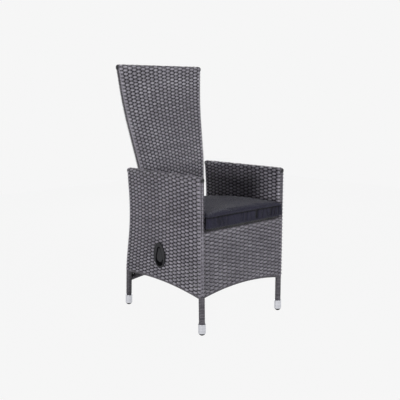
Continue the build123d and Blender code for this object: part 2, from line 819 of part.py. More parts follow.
with BuildPart() as gas_spring_horn:
    for side in sides.values():
        with BuildSketch(Plane.YZ.offset(side * clevis_gap / 2)) as horn_outline:
            with Locations((pivot_y, pivot_z)):
                Circle(back_r + horn_collar)
            with Locations((horn_pin.Y, horn_pin.Z)):
                Circle(horn_eye_r)
            make_hull(horn_outline.edges())
            with Locations((pivot_y, pivot_z)):
                Circle(back_r + weld_gap, mode=Mode.SUBTRACT)
            with Locations((horn_pin.Y, horn_pin.Z)):
                Circle(spring_pin_r + weld_gap, mode=Mode.SUBTRACT)
        extrude(amount=side * horn_plate)
save(gas_spring_horn, "gas_spring_horn")

with BuildPart() as gas_spring_bracket:
    for side in sides.values():
        with BuildSketch(Plane.YZ.offset(side * clevis_gap / 2)) as bracket_outline:
            with Locations((cross_tube_y, cross_z)):
                Circle(tube_r + bracket_plate)
            with Locations((front_pin.Y, front_pin.Z)):
                Circle(bracket_eye_r)
            make_hull(bracket_outline.edges())
            with Locations((cross_tube_y, cross_z)):
                Circle(cope_r, mode=Mode.SUBTRACT)
                Rectangle(
                    4 * tube_r, 2 * tube_r, align=(Align.CENTER, Align.MIN), mode=Mode.SUBTRACT
                )
            with Locations((front_pin.Y, front_pin.Z)):
                Circle(spring_pin_r + weld_gap, mode=Mode.SUBTRACT)
        extrude(amount=side * bracket_plate)
save(gas_spring_bracket, "gas_spring_bracket")

with BuildPart() as gas_spring_front_pin:
    pin_with_heads(front_pin, spring_pin_r, clevis_gap / 2 + bracket_plate + weld_gap)
save(gas_spring_front_pin, "gas_spring_front_pin")

with BuildPart() as gas_spring_rear_pin:
    pin_with_heads(horn_pin, spring_pin_r, clevis_gap / 2 + horn_plate + weld_gap)
save(gas_spring_rear_pin, "gas_spring_rear_pin")

# Release head: block on the rod's end with a lug for the cable gland and ears for its lever
trigger_pin = (trigger_along, -trigger_drop)
with BuildPart() as release_head:
    with BuildSketch(spring_plane) as head_outline:
        with BuildLine():
            FilletPolyline(
                (-head_nose, head_half_height),
                (head_length, head_half_height),
                (head_length, -head_half_height),
                (0, -head_half_height),
                (0, -head_lug_drop),
                (-head_lug, -head_lug_drop),
                (-head_nose, -head_half_height),
                close=True,
                radius=(trigger_r, wrap, wrap, wrap, wrap, wrap, trigger_r),
            )
        make_face()
        Circle(spring_pin_r + running_gap, mode=Mode.SUBTRACT)
    extrude(amount=head_width / 2, both=True)
    for side in sides.values():
        ear_start = side * (trigger_width / 2 + trigger_side_gap)
        with BuildSketch(spring_plane.offset(ear_start)) as ear_outline:
            with Locations(trigger_pin):
                Circle(trigger_ear_r)
            with Locations((trigger_along, 0)):
                Circle(trigger_ear_r)
            make_hull(ear_outline.edges())
            with Locations(trigger_pin):
                Circle(trigger_pin_r + weld_gap, mode=Mode.SUBTRACT)
            with Locations((trigger_along, 0)):
                Rectangle(
                    2 * trigger_ear_r,
                    head_half_height,
                    align=(Align.CENTER, Align.CENTER),
                    mode=Mode.ADD,
                )
        extrude(amount=side * trigger_ear)
    bar(spring_route(head_length - rod_thread, head_length), rod_r + weld_gap, Mode.SUBTRACT)
    gland_line = line(
        spring_plane.from_local_coords(Vector(-head_nose, -gland_drop, 0)),
        spring_plane.from_local_coords(Vector(overrun, -gland_drop, 0)),
    )
    bar(gland_line, gland_r, Mode.SUBTRACT)
save(release_head, "release_head")

with BuildPart() as head_cable_gland:
    gland_route = line(
        spring_plane.from_local_coords(Vector(-head_lug - gland_reach, -gland_drop, 0)),
        spring_plane.from_local_coords(Vector(0, -gland_drop, 0)),
    )
    collar_route = line(
        spring_plane.from_local_coords(Vector(-head_lug - gland_reach, -gland_drop, 0)),
        spring_plane.from_local_coords(Vector(-head_nose - pin_head, -gland_drop, 0)),
    )
    bar(gland_route, gland_r - weld_gap)
    bar(collar_route, gland_r + pin_head_extra / 2)
    bar(gland_route, gland_bore_r, Mode.SUBTRACT)
save(head_cable_gland, "head_cable_gland")

with BuildPart() as release_lever:
    with BuildSketch(spring_plane) as trigger_outline:
        with Locations(trigger_pin):
            Circle(trigger_r)
        with Locations((trigger_along + trigger_lean, -trigger_drop - trigger_reach)):
            Circle(trigger_tip_r)
        make_hull(trigger_outline.edges())
        with Locations(trigger_pin):
            Circle(trigger_pin_r + running_gap, mode=Mode.SUBTRACT)
        with Locations((trigger_along + trigger_lean, -trigger_drop - trigger_reach)):
            Circle(gland_bore_r, mode=Mode.SUBTRACT)
    extrude(amount=trigger_width / 2, both=True)
save(release_lever, "release_lever")

trigger_centre = spring_plane.from_local_coords(Vector(*trigger_pin, 0))
trigger_half = trigger_width / 2 + trigger_side_gap + trigger_ear
with BuildPart() as release_lever_pin:
    bar(
        line(trigger_centre - Vector(trigger_half, 0, 0), trigger_centre + Vector(trigger_half, 0, 0)),
        trigger_pin_r,
    )
save(release_lever_pin, "release_lever_pin")

# Rod, piston, guide, cylinder and eye, by their distances from the front pin
cylinder_start = head_length + rod_show
cylinder_end = spring_length - spring_tail
piston_start = cylinder_start + guide_length + piston_gap
cylinder_bore_r = cylinder_r - cylinder_wall
with BuildPart() as gas_rod:
    bar(spring_route(head_length - rod_thread, piston_start), rod_r)
save(gas_rod, "gas_rod")

with BuildPart() as gas_piston:
    bar(spring_route(piston_start, piston_start + piston_length), cylinder_bore_r - piston_side_gap)
save(gas_piston, "gas_piston")

with BuildPart() as rod_guide:
    bar(spring_route(cylinder_start, cylinder_start + guide_length), cylinder_bore_r - weld_gap)
    bar(
        spring_route(cylinder_start, cylinder_start + guide_length), rod_r + running_gap, Mode.SUBTRACT
    )
save(rod_guide, "rod_guide")

with BuildPart() as gas_cylinder:
    bar(spring_route(cylinder_start, cylinder_end), cylinder_r)
    fillet(gas_cylinder.edges().filter_by(GeomType.CIRCLE), wrap)
    bar(spring_route(cylinder_start, cylinder_end - tail_cap), cylinder_bore_r, Mode.SUBTRACT)
save(gas_cylinder, "gas_cylinder")

with BuildPart() as cylinder_eye:
    bar(spring_route(cylinder_end + weld_gap, spring_length), eye_neck_r)
    eye_bore_r = spring_pin_r + open_pivot_gap
    eye_half = Vector(eye_width / 2, 0, 0)
    bar(line(horn_pin - eye_half, horn_pin + eye_half), eye_r)
    bar(line(horn_pin - eye_half, horn_pin + eye_half), eye_bore_r, Mode.SUBTRACT)
save(cylinder_eye, "cylinder_eye")

# Handle housing: oval bezel over the weave, teardrop cup behind it
with BuildPart() as handle_housing:
    with BuildSketch(handle_face.offset(wrap_gap)) as bezel_outline:
        Ellipse(bezel_half_width, bezel_half_height)
    extrude(amount=bezel)
    fillet(handle_housing.edges().sort_by(Axis.X)[0], bezel_round)
    with BuildSketch(handle_face.offset(wrap_gap)) as cup_outline:
        add(recess(cup_wall))
    extrude(amount=-cup_depth - cup_wall)
    with BuildSketch(handle_face.offset(wrap_gap + bezel)) as cup_opening:
        add(recess(0))
    extrude(amount=-bezel - cup_depth, mode=Mode.SUBTRACT)
    lever_axis_plane = handle_face.offset(-lever_pivot_depth)
    pin_half = recess_top_r + cup_wall
    lever_pin_route = line(
        lever_axis_plane.from_local_coords(Vector(-pin_half, lever_pivot_y, 0)),
        lever_axis_plane.from_local_coords(Vector(pin_half, lever_pivot_y, 0)),
    )
    bar(lever_pin_route, lever_pin_r + weld_gap, Mode.SUBTRACT)
    with BuildSketch(handle_face.offset(wrap_gap)) as screw_holes:
        with Locations(*screw_places):
            Circle(handle_screw_r + weld_gap)
    extrude(amount=handle_screw_bite, mode=Mode.SUBTRACT)
    with BuildSketch(handle_face.offset(wrap_gap - cup_depth - cup_wall)) as gland_hole:
        with Locations((0, handle_gland_y)):
            Circle(handle_gland_r + weld_gap)
    extrude(amount=2 * cup_wall, mode=Mode.SUBTRACT)
save(handle_housing, "handle_housing")

ring_plane = handle_face.offset(-sheet - wrap_gap)
with BuildPart() as handle_clamp_ring:
    with BuildSketch(ring_plane) as ring_outline:
        Ellipse(bezel_half_width - clamp_inset, bezel_half_height - clamp_inset)
        add(recess(cup_wall + cup_fit), mode=Mode.SUBTRACT)
        with Locations(*screw_places):
            Circle(handle_screw_r + weld_gap, mode=Mode.SUBTRACT)
    extrude(amount=-clamp_ring)
save(handle_clamp_ring, "handle_clamp_ring")

screw_start = wrap_gap + handle_screw_bite - weld_gap
with BuildPart() as handle_screws:
    with BuildSketch(handle_face.offset(screw_start)) as screw_shanks:
        with Locations(*screw_places):
            Circle(handle_screw_r)
    extrude(amount=-(screw_start + sheet + wrap_gap + clamp_ring + weld_gap))
    with BuildSketch(ring_plane.offset(-clamp_ring - weld_gap)) as screw_heads:
        with Locations(*screw_places):
            Circle(handle_screw_head_r)
    extrude(amount=-handle_screw_head)
save(handle_screws, "handle_screws")

with BuildPart() as lever_pin:
    bar(lever_pin_route, lever_pin_r)
save(lever_pin, "lever_pin")

lever_hub_line = line(
    lever_axis_plane.from_local_coords(Vector(-lever_hub_half, lever_pivot_y, 0)),
    lever_axis_plane.from_local_coords(Vector(lever_hub_half, lever_pivot_y, 0)),
)
lever_side_plane = Plane(origin=lever_axis_plane.origin, x_dir=(1, 0, 0), z_dir=(0, -1, 0))
with BuildPart() as pull_lever:
    with BuildSketch(handle_face.offset(lever_proud)) as lever_outline:
        add(teardrop(lever_pivot_y, lever_top_r, lever_low_y, lever_low_r))
    extrude(amount=-lever_plate)
    fillet(pull_lever.faces().sort_by(Axis.X)[0].edges(), lever_round)
    with BuildSketch(lever_side_plane) as lever_arm_outline:
        with Locations((0, lever_pivot_y)):
            Circle(lever_hub_r)
        with Locations((lever_arm_depth - lever_pivot_depth, lever_arm_y)):
            Circle(lever_arm_r)
        make_hull(lever_arm_outline.edges())
    extrude(amount=lever_arm_half, both=True)
    bar(lever_hub_line, lever_hub_r)
    bar(lever_hub_line, lever_pin_r + running_gap, Mode.SUBTRACT)
save(pull_lever, "pull_lever")

with BuildPart() as handle_cable_gland:
    back_of_cup = handle_face.offset(wrap_gap - cup_depth - cup_wall)
    with BuildSketch(back_of_cup.offset(cup_wall)) as gland_body:
        with Locations((0, handle_gland_y)):
            Circle(handle_gland_r)
    extrude(amount=-cup_wall - handle_gland_reach)
    with BuildSketch(back_of_cup.offset(-weld_gap)) as gland_nut:
        with Locations((0, handle_gland_y)):
            RegularPolygon(handle_gland_nut_r, 6)
    extrude(amount=-handle_gland_nut)
    with BuildSketch(back_of_cup.offset(cup_wall)) as gland_bore:
        with Locations((0, handle_gland_y)):
            Circle(gland_bore_r)
    extrude(amount=-cup_wall - handle_gland_reach, mode=Mode.SUBTRACT)
save(handle_cable_gland, "handle_cable_gland")

# Seat cushion: boxed edge, sides drawn in, crowned top, rounded seams
cushion_half = leg_x - wrap_r - soft_gap
cushion_length = pivot_y - foot_wrap_r - cushion_back_gap - cushion_front_y
front_overhang = front_leg_y - cushion_front_y
drawn_half = cushion_half - cushion_draw
cushion_plane = Plane(
    origin=seat_plane.from_local_coords(Vector(0, -front_overhang, deck_top + soft_gap)),
    x_dir=(1, 0, 0),
    z_dir=seat_normal,
)
crown_top = cushion_edge + cushion_crown
crown_peak = cushion_plane.from_local_coords(Vector(0, cushion_length / 2 - crown_shift, crown_top))
crown_fall = crown_radius - sqrt(crown_radius**2 - cushion_length**2)
crown_profile_plane = Plane(origin=crown_peak, x_dir=(1, 0, 0), z_dir=-cushion_plane.y_dir)
with BuildPart() as seat_cushion:
    with BuildSketch(cushion_plane) as cushion_outline:
        with BuildLine():
            Line((-cushion_half, 0), (cushion_half, 0))
            for half, drawn in ((cushion_half, drawn_half), (-cushion_half, -drawn_half)):
                ThreePointArc((half, 0), (drawn, cushion_length / 2), (half, cushion_length))
            Line((cushion_half, cushion_length), (-cushion_half, cushion_length))
        make_face()
        fillet(cushion_outline.vertices(), cushion_corner)
    extrude(amount=crown_top)
    with BuildSketch(crown_profile_plane) as crown_profile:
        with BuildLine():
            RadiusArc((0, 0), (cushion_length, -crown_fall), crown_radius)
            Polyline(
                (cushion_length, -crown_fall), (cushion_length, -2 * crown_top), (0, -2 * crown_top), (0, 0)
            )
        make_face()
    revolve(axis=Axis(crown_peak, cushion_plane.z_dir), mode=Mode.INTERSECT)
    top_face = seat_cushion.faces().sort_by(Axis.Z)[-1]
    fillet(top_face.edges(), cushion_round)
    bottom_face = seat_cushion.faces().sort_by(Axis.Z)[0]
    fillet(bottom_face.edges(), cushion_round)
save(seat_cushion, "seat_cushion")
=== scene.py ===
# %% [markdown]
# # Dressing a woven reclining armchair
# The CAD model holds every tube, plate and pin of this garden chair in its true place. This lesson
# adds what the eye sees: polyethylene strand woven over the frame, strand wound round the tubes, a
# sewn cushion and the finish of each part. Sizes are metres, +Z is up and the chair faces -Y.

# %% Load the CAD frame
import math
import bpy
import numpy as np
from mathutils import Matrix, Vector
from mathutils.bvhtree import BVHTree


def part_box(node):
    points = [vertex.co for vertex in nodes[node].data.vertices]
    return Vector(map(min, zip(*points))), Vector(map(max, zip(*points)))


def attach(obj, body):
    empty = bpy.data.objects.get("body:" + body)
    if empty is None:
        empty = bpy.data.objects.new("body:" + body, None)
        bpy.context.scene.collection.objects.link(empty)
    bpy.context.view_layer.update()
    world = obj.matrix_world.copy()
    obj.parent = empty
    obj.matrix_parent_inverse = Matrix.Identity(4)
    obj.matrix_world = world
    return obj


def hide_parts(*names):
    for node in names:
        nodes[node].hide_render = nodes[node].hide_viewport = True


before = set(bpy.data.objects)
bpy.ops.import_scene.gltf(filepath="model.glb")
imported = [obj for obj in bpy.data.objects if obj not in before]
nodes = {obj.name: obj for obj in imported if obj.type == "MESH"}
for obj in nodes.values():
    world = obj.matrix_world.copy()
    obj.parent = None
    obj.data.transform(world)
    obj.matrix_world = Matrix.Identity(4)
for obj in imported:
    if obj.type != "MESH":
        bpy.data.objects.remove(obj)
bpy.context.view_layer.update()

# %% [markdown]
# ## Small helpers
# An operator works on whatever is selected, so every step begins by deselecting. A modifier can be
# left live or applied. Here each one is applied, because the meshes are then bent to the chair in code.

# %% Helpers for operators
MM = 0.001


def set_mode(mode):
    bpy.ops.object.mode_set(mode=mode)


def deselect():
    """Leave edit mode and deselect every object."""
    if bpy.context.mode != "OBJECT":
        set_mode("OBJECT")
    bpy.ops.object.select_all(action="DESELECT")


def activate(piece):
    """Select this one object and make it the active one."""
    deselect()
    piece.select_set(True)
    bpy.context.view_layer.objects.active = piece


def apply_modifier(piece, kind, **settings):
    """Add a modifier with these settings and apply it."""
    modifier = piece.modifiers.new(kind.lower(), kind)
    for key, value in settings.items():
        setattr(modifier, key, value)
    activate(piece)
    bpy.ops.object.modifier_apply(modifier=modifier.name)


def join(pieces, name):
    """Join several objects into one with this name."""
    deselect()
    for piece in pieces:
        piece.select_set(True)
    bpy.context.view_layer.objects.active = pieces[0]
    if len(pieces) > 1:
        bpy.ops.object.join()
    pieces[0].name = name
    return pieces[0]


def edit_all(piece, operator, **settings):
    """Run a mesh operator on the whole of a piece."""
    activate(piece)
    set_mode("EDIT")
    bpy.ops.mesh.select_all(action="SELECT")
    operator(**settings)
    set_mode("OBJECT")


def points_of(piece):
    """The mesh's points as an array of x, y, z rows."""
    flat = np.empty(len(piece.data.vertices) * 3)
    piece.data.vertices.foreach_get("co", flat)
    return flat.reshape(-1, 3)


def set_points(piece, points):
    piece.data.vertices.foreach_set("co", np.ascontiguousarray(points, dtype=np.float32).ravel())
    piece.data.update()


def delete_marked(piece, doomed, kind="VERT"):
    """Delete the points, or the faces, that the mask names."""
    activate(piece)
    set_mode("EDIT")
    bpy.ops.mesh.select_mode(type=kind)
    bpy.ops.mesh.select_all(action="DESELECT")
    set_mode("OBJECT")
    parts = piece.data.vertices if kind == "VERT" else piece.data.polygons
    parts.foreach_set("select", np.ascontiguousarray(doomed))
    set_mode("EDIT")
    bpy.ops.mesh.delete(type=kind)
    bpy.ops.mesh.select_mode(type="VERT")
    set_mode("OBJECT")


# %% [markdown]
# ## Lines of the chair
# The strand follows the tubes, so the lines of the bent rear leg, the arches and the backrest are
# repeated here from the CAD sizes. A bend between two straight runs is a short arc, drawn as a
# quadratic curve that touches both runs as far from the corner as a tube bender's arc does.

# %% Sizes and bent lines
LEG_X, FRONT_Y, ARM_Z = 0.228, -0.260, 0.6366
LEG_R, ARM_R, ARCH_R = 0.013, 0.0134, 0.0098
BACK_R, TOP_R, FOOT_R = 0.0125, 0.013, 0.0128
RAIL_Z, TOP_Z = 0.420, 1.080
PIVOT_Y, PIVOT_Z = 0.1788, 0.432
# Heights of the arches: front, middle and rear of a side, then end and middle across the chair.
SIDE_ARCH = (0.162, 0.186, 0.172)
FRONT_ARCH, REAR_ARCH = (0.166, 0.190), (0.125, 0.143)
SIDES = (("right", -1), ("left", 1))


def bent(corners, radii):
    """A line through the corners, each inner one rounded with its radius."""
    corners = [np.array(c, float) for c in corners]
    made = [corners[0]]
    for before, corner, after, radius in zip(corners, corners[1:], corners[2:], radii):
        a = (corner - before) / np.linalg.norm(corner - before)
        b = (after - corner) / np.linalg.norm(after - corner)
        reach = radius * math.tan(math.acos(min(1.0, float(a @ b))) / 2)
        for t in np.linspace(0, 1, 9):
            start, end = corner - a * reach, corner + b * reach
            made.append((1 - t) ** 2 * start + 2 * t * (1 - t) * corner + t * t * end)
    made.append(corners[-1])
    return np.array(made)


def arc(start, middle, end, steps=32):
    """A shallow arch through three points, with the middle one halfway along it."""
    start, middle, end = (np.array(p, float) for p in (start, middle, end))
    t = np.linspace(0, 1, steps + 1)[:, None]
    return start * (1 - t) * (1 - 2 * t) + middle * 4 * t * (1 - t) + end * t * (2 * t - 1)


leg_line = bent(
    [(0.2695, 0.0), (0.2540, 0.2002), (0.2140, 0.3920), (0.2075, 0.4999), (0.2170, 0.6500)], [0.7] * 3
)
back_line = bent(
    [(0.1506, 0.1788, 0.4320), (0.1780, 0.2068, 0.6497), (0.2075, 0.2672, 0.9167), (0.2228, 0.2796, 1.0800)],
    [1.0, 1.25],
)


def leg_y(z):
    """How far back the rear leg's centre stands at a height."""
    return np.interp(z, leg_line[:, 1], leg_line[:, 0])


def back_half(z):
    """Half the distance between the backrest's uprights at a height."""
    return np.interp(z, back_line[:, 2], back_line[:, 0])


def back_y(z):
    return np.interp(z, back_line[:, 2], back_line[:, 1])


def side_arch(y):
    """Height of the side panels' arched lower edge."""
    front, middle, rear = SIDE_ARCH
    line = arc((FRONT_Y, front), (0.0, middle), (leg_y(rear), rear))
    return np.interp(y, line[:, 0], line[:, 1])


def cross_arch(x, end, middle):
    """Height of an arched edge across the chair."""
    return middle + (end - middle) * (x / LEG_X) ** 2


print("rear leg at the seat:", round(float(leg_y(RAIL_Z)), 4))
print("half width of the back at the arms:", round(float(back_half(0.65)), 4))

# %% [markdown]
# ## Camera and room
# A long lens from slightly above and to the chair's right gives the picture's flat perspective. The
# lens shift frames the chair without tilting the camera, so uprights stay upright. The room is a
# pale floor and a plain world. A low lamp at the chair's right and one in front rake along the weave,
# one behind lights the edges, and a weak wide one fills in from above. What is seen of the floor is
# bright paper, while the chair is lit by the lamps, a dim world and what the floor throws back.

# %% Camera
bpy.ops.object.camera_add(location=(-1.756, -2.0395, 0.948))
camera = bpy.context.object
aim = Vector((0.0, 0.0045, 0.325)) - camera.location
facing = aim.to_track_quat("-Z", "Y").to_matrix()
camera.rotation_euler = (facing @ Matrix.Rotation(math.radians(-0.6), 3, "Z")).to_euler()
camera.data.lens = 54.9
camera.data.sensor_width = 36.0
camera.data.shift_x = -0.003
camera.data.shift_y = 0.097
camera.data.clip_end = 50.0
bpy.context.scene.camera = camera
bpy.context.scene.view_settings.view_transform = "Standard"
print("camera to chair:", round(aim.length, 3), "m")


# %% [markdown]
# ## Materials
# Each finish is a small node tree on a Principled shader. Colours are written as the hex values a
# designer would pick, and one function turns them into Blender's linear values. Small functions add
# the nodes, set their inputs and make their links.

# %% Colour and node helpers
def linear(code):
    """A hex colour as Blender's linear red, green, blue and alpha."""
    parts = [int(code[i:i + 2], 16) / 255 for i in (1, 3, 5)]
    return [c / 12.92 if c <= 0.04045 else ((c + 0.055) / 1.055) ** 2.4 for c in parts] + [1.0]


def add(material, kind, inputs=None, **settings):
    """Add a node. An input is a value, or the output socket that feeds it."""
    made = material.node_tree.nodes.new("ShaderNode" + kind)
    for key, value in settings.items():
        setattr(made, key, value)
    for key, value in (inputs or {}).items():
        if isinstance(value, bpy.types.NodeSocket):
            material.node_tree.links.new(value, made.inputs[key])
        else:
            made.inputs[key].default_value = value
    return made


def new_material(name, **values):
    """A material with its Principled shader, whose plain values are set on their own sockets."""
    material = bpy.data.materials.new(name)
    material.use_nodes = True
    shader = material.node_tree.nodes["Principled BSDF"]
    for key, value in values.items():
        shader.inputs[key.replace("_", " ")].default_value = value
    return material, shader


def link(material, output, target):
    material.node_tree.links.new(output, target)


def calc(material, operation, *values, kind="Math", out=0):
    """The result of a Math or VectorMath node on these values."""
    return add(material, kind, dict(enumerate(values)), operation=operation).outputs[out]


def noise(material, vector, scale, detail):
    """The value of a noise texture."""
    return add(material, "TexNoise", {"Vector": vector, "Scale": scale, "Detail": detail}).outputs["Fac"]


def dress(material, shader, colour, height, strength, distance):
    """Feed a shader its colour and a bump, whose distance is in metres."""
    link(material, colour, shader.inputs["Base Color"])
    bump = add(material, "Bump", {"Height": height, "Strength": strength, "Distance": distance})
    link(material, bump.outputs[0], shader.inputs["Normal"])


def ramp(material, factor, stops):
    """A colour ramp with (position, hex) stops."""
    made = add(material, "ValToRGB", {"Fac": factor})
    elements = made.color_ramp.elements
    while len(elements) < len(stops):
        elements.new(0.5)
    for element, (position, code) in zip(elements, stops):
        element.position, element.color = position, linear(code)
    return made.outputs["Color"]


# %% [markdown]
# The strand is extruded polyethylene, coloured through, in several greys that are mixed as it is
# woven. Extruding leaves fine lines along it and a satin skin. Each strand carries a UV map: U runs
# along it in metres, and V counts strands, so that the whole part of V names a strand and its
# fraction goes across it. The tone, the long grain and the ridges all come from those two numbers.

# %% Woven strand: extruded polyethylene
def strand_material(name, shade, dark, middle, light, roughness):
    material, shader = new_material(name, Roughness=roughness, IOR=1.5, Specular_IOR_Level=0.35)
    uv = add(material, "UVMap", uv_map="strand").outputs["UV"]
    split = add(material, "SeparateXYZ", {"Vector": uv})
    number = calc(material, "FLOOR", split.outputs["Y"])
    across = calc(material, "FRACT", split.outputs["Y"])
    own = add(material, "TexWhiteNoise", {"W": number}, noise_dimensions="1D").outputs["Value"]
    place = add(material, "TexCoord").outputs["Object"]
    patch = noise(material, place, 9.0, 2.0)
    long_way = add(material, "CombineXYZ", {"X": split.outputs["X"], "Y": number, "Z": across})
    stretched = calc(material, "MULTIPLY", long_way.outputs[0], (38.0, 7.3, 3.0), kind="VectorMath")
    grain = noise(material, stretched, 1.0, 3.0)
    mixed = calc(material, "MULTIPLY", own, 0.16)
    mixed = calc(material, "MULTIPLY_ADD", grain, 0.70, mixed)
    mixed = calc(material, "MULTIPLY_ADD", patch, 0.30, mixed)
    colour = ramp(material, mixed, [(0.36, dark), (0.58, middle), (0.82, light)])
    # Painted shade: by the crest attribute, the dips are mixed towards the shade colour and the crests keep
    # the strand's own tone.
    crest = add(material, "Attribute", attribute_name="crest").outputs["Fac"]
    proud = add(material, "MapRange", {"Value": crest, "From Min": -0.05, "From Max": 1.0}).outputs["Result"]
    tint = add(material, "Mix", {"Factor": proud, 6: linear(shade), 7: colour}, data_type="RGBA")
    # The extruder's ridges are about 0.3 mm apart, drawn 1.3 mm apart so that they show.
    ridges = calc(material, "SINE", calc(material, "MULTIPLY", across, 2 * math.pi * 6))
    height = calc(material, "MULTIPLY_ADD", grain, 1.6, ridges)
    dress(material, shader, tint.outputs[2], height, 0.35, 0.0002)
    return material


woven_grey, wound_shaded_grey, pale_grey = (
    strand_material("strand " + use + ", extruded polyethylene", *tones, roughness)
    for use, tones, roughness in (
        ("woven", ("#141317", "#7A7680", "#A29EA9", "#CBC7D2"), 0.33),
        # Painted shade: the wound strand gets darker greys than the woven one, for the shade on the wound
        # tubes.
        ("wound", ("#17161A", "#535058", "#757179", "#97939D"), 0.42),
        ("stake", ("#2B2A2F", "#75717B", "#9B97A1", "#BEBBC3"), 0.40),
    )
)
print("strand materials:", woven_grey.name, "|", wound_shaded_grey.name, "|", pale_grey.name)

# %% [markdown]
# The hidden frame is powder coated, a baked skin with a faint orange peel. The ferrules are turned
# and satin anodised, so fine lines run round them and their shine is broad. The glides and the
# handle are moulded: polyamide stays smooth and dark, while the handle's mould was spark eroded,
# which leaves a fine, even, matt grain.

# %% Metals and mouldings
def speckled(name, dark, light, size_mm, depth_mm, **values):
    """A finish whose colour and surface vary with a fine speck of a real size."""
    material, shader = new_material(name, **values)
    place = add(material, "TexCoord").outputs["Object"]
    speck = noise(material, place, 1000.0 / size_mm, 2.0)
    broad = noise(material, place, 28.0, 3.0)
    both = calc(material, "MULTIPLY_ADD", broad, 0.5, calc(material, "MULTIPLY", speck, 0.5))
    dress(material, shader, ramp(material, both, [(0.3, dark), (0.7, light)]), speck, 0.5, depth_mm * MM)
    return material


def turned(name, dark, light, ring_mm, axis, **values):
    """A turned or drawn metal: lines of a real spacing are stacked along the axis."""
    material, shader = new_material(name, Metallic=1.0, **values)
    place = add(material, "TexCoord").outputs["Object"]
    stretch = [1000.0 / ring_mm if a else 12.0 for a in axis]
    lined = add(material, "Mapping", {"Vector": place, "Scale": stretch}).outputs[0]
    lines = noise(material, lined, 1.0, 2.0)
    dress(material, shader, ramp(material, lines, [(0.3, dark), (0.7, light)]), lines, 0.25, 0.00005)
    return material


powder = speckled("tube, aluminium black powder coat", "#1E1E20", "#2A2A2D", 1.2, 0.06, Roughness=0.5)
plate = speckled("plate, steel black powder coat", "#202022", "#2C2C2F", 1.0, 0.06, Roughness=0.48)
polyamide = speckled("glide, moulded black polyamide", "#0A0A0C", "#121214", 2.0, 0.02, Roughness=0.7,
                     Specular_IOR_Level=0.1)
abs_grain = speckled("handle, spark eroded ABS", "#1A1A1D", "#26262A", 0.8, 0.08, Roughness=0.5,
                     Specular_IOR_Level=0.25)
acetal = speckled("bush, moulded natural acetal", "#D9D9D2", "#E4E4DE", 3.0, 0.01, Roughness=0.35)
gloss_paint = speckled("cylinder, gloss black paint", "#121214", "#19191C", 2.5, 0.02, Roughness=0.2)
cast_zinc = speckled("head, die-cast zinc alloy", "#85868A", "#97989C", 1.5, 0.05, Metallic=1.0,
                     Roughness=0.5)
anodised = turned("ferrule, satin anodised aluminium", "#BDBEC4", "#DCDDE2", 0.6, (0, 0, 1), Roughness=0.42)
zinc = turned("fixing, bright zinc plated steel", "#A3A6AC", "#C4C7CC", 0.8, (1, 0, 0), Roughness=0.34)
chrome = turned("rod, hard chromed steel", "#C4C6CA", "#DCDEE2", 0.5, (0, 1, 0), Roughness=0.12)
print("finishes so far:", len(bpy.data.materials))

# %% [markdown]
# The cushion's cover is a solution-dyed polyester canvas, woven plain and matt, with a little sheen
# from its fibres. Sines along the three axes cross on every face, as warp and weft do. The real
# threads are 0.6 mm apart, and they are drawn 1.6 mm apart so that they show at all.

# %% Cushion canvas
def canvas_material():
    material, shader = new_material(
        "cushion, solution-dyed polyester canvas", Roughness=0.85, Specular_IOR_Level=0.15,
        Sheen_Weight=0.15, Sheen_Roughness=0.5,
    )
    place = add(material, "TexCoord").outputs["Object"]
    scaled = calc(material, "MULTIPLY", place, [2 * math.pi / 0.0016] * 3, kind="VectorMath")
    waves = calc(material, "SINE", scaled, kind="VectorMath")
    # A wave along the axis that the cloth faces would draw contour rings on it, so it fades out there.
    normal = add(material, "TexCoord").outputs["Normal"]
    facing = calc(material, "ABSOLUTE", normal, kind="VectorMath")
    along = calc(material, "SUBTRACT", (1, 1, 1), facing, kind="VectorMath")
    threads = calc(material, "DOT_PRODUCT", waves, along, kind="VectorMath", out="Value")
    slub = noise(material, place, 210.0, 3.0)
    broad = noise(material, place, 14.0, 2.0)
    tone = calc(material, "MULTIPLY", slub, 0.65)
    tone = calc(material, "MULTIPLY_ADD", broad, 0.35, tone)
    tone = calc(material, "MULTIPLY_ADD", threads, 0.06, tone)
    colour = ramp(material, tone, [(0.3, "#22212D"), (0.7, "#38374A")])
    # Painted shade: this attribute mixes the cloth towards near black in gathers, seam grooves and along the
    # lower front edge.
    fold_shade = add(material, "Attribute", attribute_name="fold_shade").outputs["Fac"]
    shaded_cloth = add(material, "Mix", {"Factor": fold_shade, 6: colour, 7: linear("#08080C")}, data_type="RGBA")
    dress(material, shader, shaded_cloth.outputs[2], threads, 0.5, 0.0003)
    return material


canvas = canvas_material()
print("cushion cloth:", canvas.name)

# %% [markdown]
# ## Floor, backdrop and light
# The floor is matt and pale. For camera, glossy and transmission rays most of it is a plain emission
# of the backdrop's tone, and the small rest is the real floor, which keeps the chair's soft shadow.
# The world does the same for whatever lies past the floor.

# %% Floor and world
PAPER = "#F6F6F6"


def backdrop_rays(owner):
    """1 for the rays that see the backdrop: camera, glossy and transmission rays."""
    rays = add(owner, "LightPath").outputs
    seen = calc(owner, "MAXIMUM", rays["Is Camera Ray"], rays["Is Glossy Ray"])
    return calc(owner, "MAXIMUM", seen, rays["Is Transmission Ray"])


bpy.ops.mesh.primitive_plane_add(size=8.0, location=(0.0, 0.0, 0.0))
floor = bpy.context.object
floor.name = "studio_floor"
floor_paint, floor_shader = new_material("floor, matt pale paint", Roughness=0.95)
floor_shader.inputs["Base Color"].default_value = linear("#B4B4B4")
paper_share = calc(floor_paint, "MULTIPLY", backdrop_rays(floor_paint), 0.97)
paper = add(floor_paint, "Emission", {"Color": linear(PAPER), "Strength": 1.02})
mix_floor = add(floor_paint, "MixShader", {0: paper_share, 1: floor_shader.outputs[0], 2: paper.outputs[0]})
link(floor_paint, mix_floor.outputs[0], floor_paint.node_tree.nodes["Material Output"].inputs["Surface"])
floor.data.materials.append(floor_paint)

